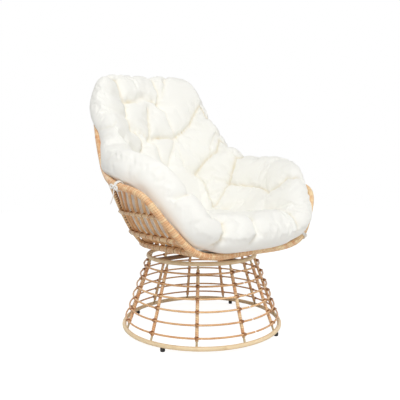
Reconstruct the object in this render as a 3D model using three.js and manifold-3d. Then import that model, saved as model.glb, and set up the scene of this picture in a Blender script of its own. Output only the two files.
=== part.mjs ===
// Swivel papasan lounge chair: a rattan bucket seat on a conical cage base.
// Millimetres, +Z up, the seat faces -Y. Angles in plan are degrees turned from -Y about +Z.
import * as THREE from 'three';
import Module from 'manifold-3d';
import { mergeVertices } from 'three/addons/utils/BufferGeometryUtils.js';

const wasm = await Module();
wasm.setup();

// Clearance that touching pieces keep, and how far a cutter runs past what it cuts
const TOUCH_GAP = 0.3;
const CUT_OVERRUN = 2;

// Base cage: two steel rings, rattan covered uprights and thin rattan hoops
const BASE_RADIUS = 310;
const BASE_TOP_RADIUS = 213;
const BASE_RING_SPACING = 268.5;
const RING_TUBE_RADIUS = 8;
const UPRIGHT_COUNT = 11;
const UPRIGHT_STEEL_RADIUS = 4;
const UPRIGHT_SLEEVE_RADIUS = 6.2;
const UPRIGHT_INSET = 5;
const SLEEVE_PAST_HOOP = 14;
const CAGE_HOOP_COUNT = 6;
const CAGE_HOOP_RADIUS = 3.4;
const CAGE_HOOP_LOWEST = 33;
const CAGE_HOOP_HIGHEST = 236;
const CAGE_TURN = -42.2;

// Feet
const FOOT_COUNT = 4;
const FOOT_RADIUS = 8.5;
const FOOT_HEIGHT = 12;
const FOOT_CHAMFER = 1.5;
const FEET_TURN = -64.6;

// Swivel: a flat cross in each half, a plate on each and a pair of bearing rings between
const CROSS_WIDTH = 30;
const BASE_CROSS_THICKNESS = 10;
const SEAT_CROSS_THICKNESS = 8;
const SEAT_CROSS_HEIGHT = 333;
const PLATE_SIDE = 164;
const PLATE_CORNER_RADIUS = 14;
const PLATE_THICKNESS = 3;
const PLATE_HOLE_SPACING = 124;
const PLATE_HOLE_RADIUS = 4;
const BEARING_INNER_RADIUS = 40;
const BEARING_OUTER_RADIUS = 58;
const BEARING_CHAMFER = 3;
const PIVOT_RADIUS = 6;
const PIVOT_HEAD_RADIUS = 11;
const PIVOT_HEAD_THICKNESS = 5;
const PIVOT_RUNNING_GAP = 0.5;

// Rim of the bucket seat: half width, front and back in plan, and its lowest and highest height
const RIM_TUBE_RADIUS = 11.5;
const RIM_HALF_WIDTH = 427;
const RIM_FRONT = -289;
const RIM_BACK = 469;
const RIM_LOW = 333;
const RIM_HIGH = 1027;
const RIM_SPLICE_GAP = 0.3;

// The right half of the rim from front centre to top centre:
// shares of the half width, of the way from front to back, and of the way from low to high
const rimShares = [
  [0.000, 0.015, 0.000],
  [0.578, 0.000, 0.030],
  [0.800, 0.030, 0.160],
  [0.946, 0.092, 0.295],
  [1.000, 0.274, 0.350],
  [0.900, 0.467, 0.399],
  [0.787, 0.637, 0.481],
  [0.714, 0.766, 0.635],
  [0.630, 0.875, 0.785],
  [0.510, 0.942, 0.925],
  [0.363, 0.978, 0.976],
  [0.187, 0.996, 0.996],
  [0.000, 1.000, 1.000],
];

// Seat hoops: each leaves the rim at a height, runs back along the side and round behind the seat,
// narrower than the rim's widest place by its insideRim on each side
const HOOP_SQUARENESS = 2.3;
const TOP_HOOP = { tube: 6.2, rimHeight: 471, insideRim: 78, bendStart: -60, back: 238, backHeight: 471 };
const MIDDLE_HOOP = { tube: 7.5, rimHeight: 390, insideRim: 136, bendStart: -35, back: 243, backHeight: 389 };
const LOW_HOOP = { tube: 10, rimHeight: 350, insideRim: 197, bendStart: -60, back: 262, backHeight: 327 };

// Bands across the back, from rim to rim: height and how far behind their rim ends they bow
const LOW_BAND = { tube: 6.2, height: 640, bow: 168 };
const HIGH_BAND = { tube: 6.2, height: 830, bow: 50 };

// Half a band: shares of its half width and of its bow, from the rim to the middle
const bandShares = [[1, 0], [0.86, 0.4], [0.62, 0.74], [0.32, 0.94], [0, 1]];

// Ribs and posts stand inside the hoops
const RIB_RADIUS = 5.2;
const RIB_HOOP_GAP = 1.4;
const POST_RADIUS = 7.5;
const POST_NOTCH_INSET = 6;
const POST_ON_RIM = 313;
const POST_ON_TOP_HOOP = 352;
const POST_ON_MIDDLE_HOOP = 402;
const POST_ON_LOW_HOOP = 440;
const SIDE_RIB_COUNT = 7;
const SIDE_RIB_ON_RIM = { first: 38, pitch: 28.8 };
const SIDE_RIB_ON_TOP_HOOP = { first: 39, pitch: 43.3 };
const SIDE_RIB_ON_MIDDLE_HOOP = { first: 89, pitch: 44 };
const SIDE_RIB_ON_LOW_HOOP = { first: 100, pitch: 44 };
const BACK_RIBS_EACH_SIDE = 7;
const BACK_RIB_PITCH_ON_RIM = 45;
const BACK_RIB_PITCH_ON_HIGH_BAND = 44;
const BACK_RIB_PITCH_ON_LOW_BAND = 43;
const BACK_RIB_PITCH_ON_TOP_HOOP = 40;
const BACK_RIB_PITCH_ON_MIDDLE_HOOP = 33;
const BACK_RIB_PITCH_ON_LOW_HOOP = 22;
const RIB_TAIL = 5;

// Canes cross a little notched where they are bound into one piece
const LATTICE_NOTCH = 2.4;

// Seat floor: canes from the front of the rim to the back of the low hoop, bound under two cross canes
const FLOOR_CANES_EACH_SIDE = 3;
const FLOOR_CROSS_CANE_RADIUS = 6.2;
const FLOOR_CROSS_CANE_FRONT = -124;
const FLOOR_CROSS_CANE_BACK = 110;

// Cushion: the centre line of its outer roll in half width, plan and height, its half thicknesses,
// and how far its top has slipped to the left and its right corner has tipped up
const CUSHION_INSIDE_RIM = 49;
const CUSHION_BEFORE_RIM = 11;
const CUSHION_OFF_RIM_BACK = 55;
const CUSHION_OVER_RIM = 72;
const CUSHION_UNDER_RIM_TOP = 5;
const CUSHION_HALF_WIDTH = RIM_HALF_WIDTH - CUSHION_INSIDE_RIM;
const CUSHION_FRONT = RIM_FRONT - CUSHION_BEFORE_RIM;
const CUSHION_BACK = RIM_BACK - CUSHION_OFF_RIM_BACK;
const CUSHION_LOW = RIM_LOW + CUSHION_OVER_RIM;
const CUSHION_HIGH = RIM_HIGH - CUSHION_UNDER_RIM_TOP;
const CUSHION_MIDDLE_Y = -10;
const CUSHION_BODY = 46;
const CUSHION_PRESSED = 7.5;
const CUSHION_ROLL_FRONT = 61;
const CUSHION_ROLL_BACK = 40;
const CUSHION_SLIP = 42;
const CUSHION_SLIP_HALF_WIDTH = 250;
const CUSHION_TILT = 16;
const CUSHION_SLIP_FROM = 650;
const CUSHION_SLIP_TO = 900;
const TUFT_DEPTH = 34;
const TUFT_SPREAD = 40;
const FOLD_SPREAD = 27;
const DEEP_FOLD = 19;
const SOFT_FOLD = 12;

// The halves of the roll's centre line from front centre to top centre:
// shares of the half width, of the way from front to back, and of the way from low to high
const rollRightShares = [
  [0.000, 0.000, 0.000],
  [0.582, 0.021, 0.032],
  [0.754, 0.081, 0.152],
  [0.884, 0.165, 0.284],
  [1.000, 0.322, 0.357],
  [0.913, 0.504, 0.388],
  [0.800, 0.645, 0.465],
  [0.720, 0.758, 0.625],
  [0.670, 0.868, 0.810],
  [0.555, 0.950, 0.965],
  [0.410, 0.983, 0.990],
  [0.212, 0.997, 0.998],
  [0.000, 1.000, 1.000],
];
const rollLeftShares = [
  [0.000, 0.000, 0.000],
  [0.582, 0.021, 0.032],
  [0.754, 0.081, 0.152],
  [0.884, 0.165, 0.286],
  [1.000, 0.322, 0.368],
  [0.913, 0.504, 0.394],
  [0.790, 0.642, 0.462],
  [0.688, 0.743, 0.616],
  [0.651, 0.856, 0.799],
  [0.529, 0.932, 0.968],
  [0.397, 0.964, 1.000],
  [0.212, 0.986, 0.998],
  [0.000, 1.000, 1.000],
];

// The cushion lies flat out to a share of the way to its roll, less far towards the back, then climbs
const flatShares = { side: 0.55, back: 0.38 };
const frameShares = { outReach: 0.06, roundReach: 0.03 };
const pressedShares = { from: 0.34, to: 0.5, rollFrom: 0.84 };
const TOP_ROLL_SHARE = 0.6;
const CUSHION_CLIMB = 1.3;
const ROUNDING_SHARE = 0.7;

// Sewn tufts: shares of the way round the roll, from the front centre to the right, and of the way out to it
const tuftShares = [
  [0.551, 0.927], [0.485, 0.913], [0.563, 0.83], [0.525, 0.78], [0.463, 0.79], [0.5, 0.663],
  [0.412, 0.673], [0.278, 0.813], [0.316, 0.58], [0.573, 0.733], [0.721, 0.817], [0.588, 0.637],
  [0.682, 0.58], [0.125, 0.38], [0.875, 0.38],
];

// Folds between the tufts and over the roll, in the same shares, which run on past 1 round the roll to 2
// on its under side
const deepFoldShares = [
  [[0.572, 1.7], [0.562, 1.08], [0.551, 0.927]],
  [[0.551, 0.927], [0.513, 0.937], [0.485, 0.913]],
  [[0.485, 0.913], [0.486, 0.993], [0.492, 1.6]],
  [[0.525, 0.78], [0.463, 0.79]],
  [[0.463, 0.79], [0.423, 0.863], [0.358, 1.12], [0.354, 1.7]],
  [[0.412, 0.673], [0.348, 0.84], [0.294, 1.3], [0.294, 1.7]],
  [[0.278, 0.813], [0.277, 0.95], [0.267, 1.13], [0.262, 1.7]],
  [[0.283, 0.813], [0.167, 0.83], [0.152, 0.923], [0.14, 1.4]],
  [[0.108, 0.7], [0.085, 0.88], [0.06, 1.1], [0.06, 1.7]],
  [[0.89, 0.7], [0.922, 0.93], [0.943, 1.1], [0.943, 1.85]],
];
const softFoldShares = [
  [[0.551, 0.927], [0.563, 0.83], [0.552, 0.78], [0.573, 0.733]],
  [[0.485, 0.913], [0.463, 0.79]],
  [[0.525, 0.78], [0.508, 0.897]],
  [[0.463, 0.79], [0.5, 0.663]],
  [[0.525, 0.78], [0.563, 0.83]],
  [[0.525, 0.78], [0.5, 0.663]],
  [[0.412, 0.673], [0.316, 0.58], [0.278, 0.813]],
  [[0.665, 1.8], [0.665, 1]],
  [[0.78, 1.8], [0.761, 0.95]],
  [[0.883, 1.05], [0.883, 1.5]],
  [[0.986, 1], [0.986, 1.7]],
  [[0.588, 0.637], [0.682, 0.58], [0.721, 0.817]],
];

// Where the cushion's skin has its columns and, on the sitter's side, its rings, so that folds get corners
const columnShares = [
  0, 0.03, 0.06, 0.085, 0.108, 0.125, 0.14, 0.165, 0.195, 0.225, 0.25, 0.267, 0.28, 0.294, 0.316,
  0.335, 0.354, 0.38, 0.412, 0.437, 0.462, 0.486, 0.5, 0.525, 0.552, 0.57, 0.592, 0.615, 0.64, 0.665,
  0.69, 0.705, 0.721, 0.75, 0.78, 0.805, 0.83, 0.855, 0.883, 0.9, 0.922, 0.943, 0.965, 0.986,
];
const ringShares = [0.2, 0.38, 0.49, 0.58, 0.66, 0.73, 0.78, 0.82, 0.87, 0.92, 0.96, 1];

// Cushion ties: a cord round the rim with a knot and two bow loops, and one free end hanging from it
const TIE_CORD_RADIUS = 2.2;
const TIE_KNOT_RADIUS = 6;
const TIE_BOW_RADIUS = 9;
const TIE_BOW_CORD_RADIUS = 1.8;
const TIE_BOW_DROP = 3;
const TIE_BOW_SPREAD = 14;
const TIE_TAIL_LENGTH = 52;
const TIE_TAIL_DRIFT = 9;
const REAR_TIE_ON_RIM = 205;
const FRONT_TIE_BEFORE_RIM = -140;

// Facets
const RING_STEPS = 33;
const RING_SIDES = 8;
const CAGE_HOOP_STEPS = 22;
const THIN_SIDES = 6;
const ROUND_SIDES = 8;
const RIM_STEPS = 40;
const HOOP_STEPS = 34;
const BAND_STEPS = 12;
const RIB_STEPS = 7;
const POST_STEPS = 9;
const TURNED_STEPS = 16;
const FOOT_STEPS = 12;
const CORNER_STEPS = 3;
const HOOP_BEND_POINTS = 6;
const TIE_SIDES = 5;
const TIE_RING_STEPS = 10;
const TIE_TAIL_POINTS = 6;
const CUSHION_EDGE_RINGS = 3;
const CUSHION_UNDER_RINGS = 8;
const FOLD_STEPS = 12;
const ROUNDING_PASSES = 4;
const CURVE_SAMPLES = 400;

// Finishes
const finishes = {
  rattan: new THREE.MeshStandardMaterial({ color: 0xd9a066, roughness: 0.55, metalness: 0 }),
  paintedSteel: new THREE.MeshStandardMaterial({ color: 0xd8bd8c, roughness: 0.4, metalness: 0.1 }),
  darkSteel: new THREE.MeshStandardMaterial({ color: 0x3a332c, roughness: 0.45, metalness: 0.6 }),
  boltSteel: new THREE.MeshStandardMaterial({ color: 0x8c8c8c, roughness: 0.35, metalness: 0.9 }),
  footPlastic: new THREE.MeshStandardMaterial({ color: 0x1b1b1b, roughness: 0.6, metalness: 0 }),
  canvas: new THREE.MeshStandardMaterial({ color: 0xf4f1e8, roughness: 0.9, metalness: 0 }),
};

const chair = new THREE.Group();
const base = new THREE.Group();
const seat = new THREE.Group();
chair.add(base, seat);

function addPiece(group, name, geometry, material) {
  const piece = new THREE.Mesh(geometry, material);
  piece.name = name;
  group.add(piece);
  return piece;
}

// Heights worked out from the sizes above
const bottomRingHeight = FOOT_HEIGHT + RING_TUBE_RADIUS;
const topRingHeight = bottomRingHeight + BASE_RING_SPACING;
const coneSlope = (BASE_RADIUS - BASE_TOP_RADIUS) / BASE_RING_SPACING;
const coneAngle = Math.atan(coneSlope);
const baseCrossTop = topRingHeight + BASE_CROSS_THICKNESS / 2;
const lowerPlateBottom = baseCrossTop + TOUCH_GAP;
const lowerPlateTop = lowerPlateBottom + PLATE_THICKNESS;
const seatCrossBottom = SEAT_CROSS_HEIGHT - SEAT_CROSS_THICKNESS / 2;
const seatCrossTop = SEAT_CROSS_HEIGHT + SEAT_CROSS_THICKNESS / 2;
const floorCaneHeight = seatCrossTop + TOUCH_GAP + RIB_RADIUS;
const floorCrossHeight = floorCaneHeight + RIB_RADIUS + FLOOR_CROSS_CANE_RADIUS - LATTICE_NOTCH;
const floorTop = floorCrossHeight + FLOOR_CROSS_CANE_RADIUS;
const upperPlateTop = seatCrossBottom - TOUCH_GAP;
const upperPlateBottom = upperPlateTop - PLATE_THICKNESS;
const bearingHeight = (upperPlateBottom - lowerPlateTop - 3 * TOUCH_GAP) / 2;

// A regular many-sided outline about a point: a tube's section, or a round hole
function roundOutline(outline, x, y, radius, sides) {
  for (let i = 0; i < sides; i += 1) {
    const angle = (i / sides) * 2 * Math.PI;
    const pointX = x + radius * Math.cos(angle);
    const pointY = y + radius * Math.sin(angle);
    if (i === 0) outline.moveTo(pointX, pointY);
    else outline.lineTo(pointX, pointY);
  }
  outline.closePath();
  return outline;
}

function roundSection(radius, sides) {
  return roundOutline(new THREE.Shape(), 0, 0, radius, sides);
}

function roundHole(x, y, radius, sides) {
  return roundOutline(new THREE.Path(), x, y, radius, sides);
}

function tubeAlong(curve, radius, sides, steps) {
  return new THREE.ExtrudeGeometry(roundSection(radius, sides), { steps, extrudePath: curve });
}

// A torus about the Z axis whose vertices stand where the uprights do
function ringAboutZ(ringRadius, tubeRadius, height, sides, steps) {
  const geometry = new THREE.TorusGeometry(ringRadius, tubeRadius, sides, steps);
  geometry.rotateZ(-Math.PI / 2);
  geometry.translate(0, 0, height);
  return geometry;
}

// A turned piece about the Z axis, from [radius, height] pairs
function turned(pairs, steps = TURNED_STEPS) {
  const profile = pairs.map(([radius, height]) => new THREE.Vector2(radius, height));
  const geometry = new THREE.LatheGeometry(profile, steps);
  geometry.rotateX(Math.PI / 2);
  return geometry;
}

// An outline raised to a flat piece between two heights
function flatPiece(outline, bottom, top) {
  const geometry = new THREE.ExtrudeGeometry(outline, {
    depth: top - bottom,
    bevelEnabled: false,
    curveSegments: CORNER_STEPS,
  });
  geometry.translate(0, 0, bottom);
  return geometry;
}

function planDirection(degrees) {
  const angle = THREE.MathUtils.degToRad(degrees);
  return new THREE.Vector3(Math.sin(angle), -Math.cos(angle), 0);
}

// Solids for the boolean cuts
function toSolid(geometry) {
  const bare = geometry.clone();
  bare.deleteAttribute('normal');
  bare.deleteAttribute('uv');
  const merged = mergeVertices(bare);
  return new wasm.Manifold(new wasm.Mesh({
    numProp: 3,
    vertProperties: new Float32Array(merged.attributes.position.array),
    triVerts: new Uint32Array(merged.index.array),
  }));
}

function toGeometry(solid) {
  const mesh = solid.getMesh();
  const geometry = new THREE.BufferGeometry();
  geometry.setAttribute('position', new THREE.BufferAttribute(new Float32Array(mesh.vertProperties), 3));
  geometry.setIndex(new THREE.BufferAttribute(new Uint32Array(mesh.triVerts), 1));
  geometry.computeVertexNormals();
  return geometry;
}

// Base rings
addPiece(base, 'base_ring_bottom',
  ringAboutZ(BASE_RADIUS, RING_TUBE_RADIUS, bottomRingHeight, RING_SIDES, RING_STEPS), finishes.paintedSteel);
addPiece(base, 'base_ring_top',
  ringAboutZ(BASE_TOP_RADIUS, RING_TUBE_RADIUS, topRingHeight, RING_SIDES, RING_STEPS), finishes.paintedSteel);

// Uprights: a steel rod between the rings in a thicker rattan sleeve from the lowest hoop to the highest
const cage = new THREE.Group();
cage.rotation.z = THREE.MathUtils.degToRad(CAGE_TURN);
base.add(cage);

const uprightLength = BASE_RING_SPACING / Math.cos(coneAngle);
const uprightSide = Math.max(0, UPRIGHT_INSET - UPRIGHT_STEEL_RADIUS);
const uprightEnd = Math.sqrt((RING_TUBE_RADIUS + TOUCH_GAP) ** 2 - uprightSide ** 2);
const sleeveStart = (CAGE_HOOP_LOWEST - SLEEVE_PAST_HOOP) / Math.cos(coneAngle);
const sleeveEnd = (CAGE_HOOP_HIGHEST + SLEEVE_PAST_HOOP) / Math.cos(coneAngle);
const sleeveStep = UPRIGHT_SLEEVE_RADIUS - UPRIGHT_STEEL_RADIUS;

for (let i = 0; i < UPRIGHT_COUNT; i += 1) {
  const geometry = turned([
    [0, uprightEnd],
    [UPRIGHT_STEEL_RADIUS, uprightEnd],
    [UPRIGHT_STEEL_RADIUS, sleeveStart],
    [UPRIGHT_SLEEVE_RADIUS, sleeveStart + sleeveStep],
    [UPRIGHT_SLEEVE_RADIUS, sleeveEnd - sleeveStep],
    [UPRIGHT_STEEL_RADIUS, sleeveEnd],
    [UPRIGHT_STEEL_RADIUS, uprightLength - uprightEnd],
    [0, uprightLength - uprightEnd],
  ], THIN_SIDES);
  geometry.rotateX(-coneAngle);
  geometry.translate(
    0,
    UPRIGHT_INSET * Math.cos(coneAngle) - BASE_RADIUS,
    bottomRingHeight - UPRIGHT_INSET * Math.sin(coneAngle),
  );
  const upright = addPiece(cage, `base_upright_${i + 1}`, geometry, finishes.rattan);
  upright.rotation.z = (i / UPRIGHT_COUNT) * 2 * Math.PI;
}

// Cage hoops lie against the outside of the sleeves
const hoopStandOff = (UPRIGHT_SLEEVE_RADIUS + CAGE_HOOP_RADIUS + TOUCH_GAP - UPRIGHT_INSET) / Math.cos(coneAngle);
const cageHoopPitch = (CAGE_HOOP_HIGHEST - CAGE_HOOP_LOWEST) / (CAGE_HOOP_COUNT - 1);
for (let i = 0; i < CAGE_HOOP_COUNT; i += 1) {
  const above = CAGE_HOOP_LOWEST + i * cageHoopPitch;
  const radius = BASE_RADIUS - above * coneSlope + hoopStandOff;
  const geometry = ringAboutZ(radius, CAGE_HOOP_RADIUS, bottomRingHeight + above, THIN_SIDES, CAGE_HOOP_STEPS);
  addPiece(cage, `base_hoop_${i + 1}`, geometry, finishes.rattan);
}

// Feet under the bottom ring
for (let i = 0; i < FOOT_COUNT; i += 1) {
  const top = FOOT_HEIGHT - TOUCH_GAP;
  const geometry = turned([
    [0, 0],
    [FOOT_RADIUS - FOOT_CHAMFER, 0],
    [FOOT_RADIUS, FOOT_CHAMFER],
    [FOOT_RADIUS, top],
    [0, top],
  ], FOOT_STEPS);
  const foot = addPiece(base, `foot_${i + 1}`, geometry, finishes.footPlastic);
  foot.position.copy(planDirection(FEET_TURN + (i * 360) / FOOT_COUNT).multiplyScalar(BASE_RADIUS));
}

// The rim: one closed smooth loop through the mirrored points
function rimPoint([across, along, up]) {
  return new THREE.Vector3(
    across * RIM_HALF_WIDTH,
    RIM_FRONT + along * (RIM_BACK - RIM_FRONT),
    RIM_LOW + up * (RIM_HIGH - RIM_LOW),
  );
}
const rimRight = rimShares.map(rimPoint);
const rimLeft = rimRight.slice(1, -1).reverse().map((point) => new THREE.Vector3(-point.x, point.y, point.z));
const rimLoop = new THREE.CatmullRomCurve3([...rimRight, ...rimLeft], true, 'centripetal');

// Half of the rim, with t 0 at the front splice and 1 at the top splice
class RimHalf extends THREE.Curve {
  constructor(side) {
    super();
    this.side = side;
  }

  getPoint(t, target = new THREE.Vector3()) {
    rimLoop.getPoint(t / 2, target);
    target.x += RIM_SPLICE_GAP / 2;
    target.x *= this.side;
    return target;
  }
}

const rightRim = new RimHalf(1);
rightRim.arcLengthDivisions = CURVE_SAMPLES;
const rimHalfLength = rightRim.getLength();

// Where the rim, rising from front to top, reaches a height, as a share of the half's length
function rimShareAtHeight(height) {
  let low = 0;
  let high = 1;
  for (let i = 0; i < 40; i += 1) {
    const middle = (low + high) / 2;
    if (rightRim.getPointAt(middle).z < height) low = middle;
    else high = middle;
  }
  return (low + high) / 2;
}

// Where the back part of the rim comes in to a distance from the middle
function rimShareAtWidth(width) {
  let low = 0.4;
  let high = 1;
  for (let i = 0; i < 40; i += 1) {
    const middle = (low + high) / 2;
    if (rightRim.getPointAt(middle).x > width) low = middle;
    else high = middle;
  }
  return (low + high) / 2;
}

for (const [name, side] of [['rim_right', 1], ['rim_left', -1]]) {
  const curve = new RimHalf(side);
  addPiece(seat, name, tubeAlong(curve, RIM_TUBE_RADIUS, ROUND_SIDES, RIM_STEPS), finishes.rattan);
}

// Cutters, a touching gap fatter than the tube that a piece is fitted against
function tubeCutter(curve, radius, sides, steps) {
  return toSolid(tubeAlong(curve, radius + TOUCH_GAP, sides, steps));
}

const rimCutters = [1, -1].map((side) => tubeCutter(new RimHalf(side), RIM_TUBE_RADIUS, ROUND_SIDES, RIM_STEPS));

// The two splices of the rim are closed in the cutters
for (const end of [0, 1]) {
  const { y, z } = rightRim.getPointAt(end);
  const across = new THREE.LineCurve3(new THREE.Vector3(-CUT_OVERRUN, y, z), new THREE.Vector3(CUT_OVERRUN, y, z));
  rimCutters.push(tubeCutter(across, RIM_TUBE_RADIUS, ROUND_SIDES, 1));
}

// Tube ends are coped: what would enter the neighbour's tube is cut away
function coped(solid, cutters) {
  return cutters.reduce((rest, cutter) => rest.subtract(cutter), solid);
}

function joined(solids) {
  return solids.reduce((sum, solid) => sum.add(solid));
}

// A seat hoop's line, from the rim on the right round the back to the rim on the left
function hoopCurve(hoop) {
  const start = rightRim.getPointAt(rimShareAtHeight(hoop.rimHeight));
  const heightAt = (y) => start.z + ((hoop.backHeight - start.z) * (y - start.y)) / (hoop.back - start.y);
  const right = [start];
  const middleY = (start.y + hoop.bendStart) / 2;
  const halfWidth = RIM_HALF_WIDTH - hoop.insideRim;
  const middleX = halfWidth + (start.x - halfWidth) / 4;
  right.push(new THREE.Vector3(middleX, middleY, heightAt(middleY)));
  for (let i = 0; i < HOOP_BEND_POINTS; i += 1) {
    const angle = (i / HOOP_BEND_POINTS) * (Math.PI / 2);
    const x = halfWidth * Math.cos(angle) ** (2 / HOOP_SQUARENESS);
    const y = hoop.bendStart + (hoop.back - hoop.bendStart) * Math.sin(angle) ** (2 / HOOP_SQUARENESS);
    right.push(new THREE.Vector3(x, y, heightAt(y)));
  }
  const left = right.map((point) => new THREE.Vector3(-point.x, point.y, point.z)).reverse();
  const back = new THREE.Vector3(0, hoop.back, hoop.backHeight);
  const curve = new THREE.CatmullRomCurve3([...right, back, ...left], false, 'centripetal');
  curve.arcLengthDivisions = CURVE_SAMPLES;
  return curve;
}

// A band's line, from rim to rim behind the back
function bandCurve(band) {
  const start = rightRim.getPointAt(rimShareAtHeight(band.height));
  const right = bandShares.map(([across, behind]) => (
    new THREE.Vector3(start.x * across, start.y + band.bow * behind, band.height)
  ));
  const left = right.slice(0, -1).map((point) => new THREE.Vector3(-point.x, point.y, point.z)).reverse();
  const curve = new THREE.CatmullRomCurve3([...right, ...left], false, 'centripetal');
  curve.arcLengthDivisions = CURVE_SAMPLES;
  return curve;
}

function hoopOf(curve, tube, steps) {
  return {
    curve,
    tube,
    solid: coped(toSolid(tubeAlong(curve, tube, ROUND_SIDES, steps)), rimCutters),
    cutter: tubeCutter(curve, tube, ROUND_SIDES, steps),
  };
}

const lowHoop = hoopOf(hoopCurve(LOW_HOOP), LOW_HOOP.tube, HOOP_STEPS);
const middleHoop = hoopOf(hoopCurve(MIDDLE_HOOP), MIDDLE_HOOP.tube, HOOP_STEPS);
const topHoop = hoopOf(hoopCurve(TOP_HOOP), TOP_HOOP.tube, HOOP_STEPS);
const lowBand = hoopOf(bandCurve(LOW_BAND), LOW_BAND.tube, BAND_STEPS);
const highBand = hoopOf(bandCurve(HIGH_BAND), HIGH_BAND.tube, BAND_STEPS);
addPiece(seat, 'seat_hoop_low', toGeometry(lowHoop.solid), finishes.rattan);
addPiece(seat, 'seat_hoop_middle', toGeometry(middleHoop.solid), finishes.rattan);
addPiece(seat, 'seat_hoop_top', toGeometry(topHoop.solid), finishes.rattan);

// Flat cross about the axis, its arms as long as asked on each side
function crossOutline(half, front, back, sides) {
  const outline = new THREE.Shape();
  outline.moveTo(-half, -front);
  for (const [x, y] of [
    [half, -front], [half, -half], [sides, -half], [sides, half], [half, half], [half, back],
    [-half, back], [-half, half], [-sides, half], [-sides, -half], [-half, -half],
  ]) outline.lineTo(x, y);
  outline.closePath();
  return outline;
}

// Seat cross, from side to side of the low hoop and from the rim's front to the low hoop's back
const seatCrossLengths = [-rightRim.getPointAt(0).y, LOW_HOOP.back, RIM_HALF_WIDTH - LOW_HOOP.insideRim];
const seatCross = crossOutline(CROSS_WIDTH / 2, ...seatCrossLengths);
seatCross.holes.push(roundHole(0, 0, PIVOT_RADIUS + PIVOT_RUNNING_GAP, TURNED_STEPS));
const seatCrossSolid = toSolid(flatPiece(seatCross, seatCrossBottom, seatCrossTop));
addPiece(seat, 'seat_cross',
  toGeometry(coped(seatCrossSolid, [...rimCutters, lowHoop.cutter])), finishes.darkSteel);

// Canes are cut short above the cross, and coped against the rim and the hoops
const crossCutter = toSolid(flatPiece(
  crossOutline(CROSS_WIDTH / 2 + TOUCH_GAP, ...seatCrossLengths),
  seatCrossBottom - 2 * LOW_HOOP.tube,
  seatCrossTop + TOUCH_GAP,
));
const frameCutters = [...rimCutters, lowHoop.cutter, middleHoop.cutter, topHoop.cutter, crossCutter];

// A place on the right half of a hoop: the point and the line's direction there
function onHoopAtLength(hoop, length) {
  const share = length / hoop.curve.getLength();
  return { hoop, point: hoop.curve.getPointAt(share), tangent: hoop.curve.getTangentAt(share) };
}

function onHoopAtWidth(hoop, width) {
  let low = 0;
  let high = 0.5;
  for (let i = 0; i < 40; i += 1) {
    const middle = (low + high) / 2;
    const past = hoop.curve.getPointAt(middle);
    if (past.x > width || past.y < hoop.curve.getPointAt(0).y / 2) low = middle;
    else high = middle;
  }
  return { hoop, point: hoop.curve.getPointAt(low), tangent: hoop.curve.getTangentAt(low) };
}

function hoopWidthAt(hoop, y) {
  let low = 0;
  let high = 0.5;
  for (let i = 0; i < 40; i += 1) {
    const middle = (low + high) / 2;
    if (hoop.curve.getPointAt(middle).y < y) low = middle;
    else high = middle;
  }
  return hoop.curve.getPointAt(low).x;
}

// Moves each crossing inwards, square to the hoop and to the rib, so that the rib passes inside the hoop
function insideHoops(crossings, rimEnd, standOff) {
  const line = [...crossings.map((crossing) => crossing.point), rimEnd];
  return crossings.map(({ hoop, point, tangent }, i) => {
    const along = new THREE.Vector3().subVectors(line[i + 1], line[Math.max(i - 1, 0)]);
    const inwards = new THREE.Vector3().crossVectors(tangent, along).normalize();
    if (inwards.x * point.x + inwards.y * point.y > 0) inwards.negate();
    return point.clone().addScaledVector(inwards, standOff(hoop));
  });
}

function mirrored(points, side) {
  return points.map((point) => new THREE.Vector3(point.x * side, point.y, point.z));
}

function curveThrough(points) {
  return new THREE.CatmullRomCurve3(points, false, 'centripetal');
}

function caneAlong(curve, radius, sides, steps, cutters = frameCutters) {
  return coped(toSolid(tubeAlong(curve, radius, sides, steps)), cutters);
}

// How far a rib stands inside a hoop: clear of a seat hoop, notched into a band of its own lattice
function ribStandOff(hoop) {
  const inLattice = hoop === lowBand || hoop === highBand;
  return hoop.tube + RIB_RADIUS + (inLattice ? -LATTICE_NOTCH : RIB_HOOP_GAP);
}

function ribCurve(inside, rimEnd, side) {
  const tail = inside[0].clone().addScaledVector(
    new THREE.Vector3().subVectors(inside[0], inside[1]).normalize(),
    RIB_TAIL,
  );
  return curveThrough(mirrored([tail, ...inside, rimEnd], side));
}

// Side ribs, from the rim's front slope down inside the three hoops
const rimShareAtTopHoop = rimShareAtHeight(TOP_HOOP.rimHeight);
const rimAtLength = (length) => rightRim.getPointAt(rimShareAtTopHoop + length / rimHalfLength);
for (const [sideName, side] of [['right', 1], ['left', -1]]) {
  for (let i = 0; i < SIDE_RIB_COUNT; i += 1) {
    const crossings = [
      onHoopAtLength(lowHoop, SIDE_RIB_ON_LOW_HOOP.first + i * SIDE_RIB_ON_LOW_HOOP.pitch),
      onHoopAtLength(middleHoop, SIDE_RIB_ON_MIDDLE_HOOP.first + i * SIDE_RIB_ON_MIDDLE_HOOP.pitch),
      onHoopAtLength(topHoop, SIDE_RIB_ON_TOP_HOOP.first + i * SIDE_RIB_ON_TOP_HOOP.pitch),
    ];
    const rimEnd = rimAtLength(SIDE_RIB_ON_RIM.first + i * SIDE_RIB_ON_RIM.pitch);
    const curve = ribCurve(insideHoops(crossings, rimEnd, ribStandOff), rimEnd, side);
    const rib = caneAlong(curve, RIB_RADIUS, THIN_SIDES, RIB_STEPS);
    addPiece(seat, `side_rib_${sideName}_${i + 1}`, toGeometry(rib), finishes.rattan);
  }
}

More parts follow.
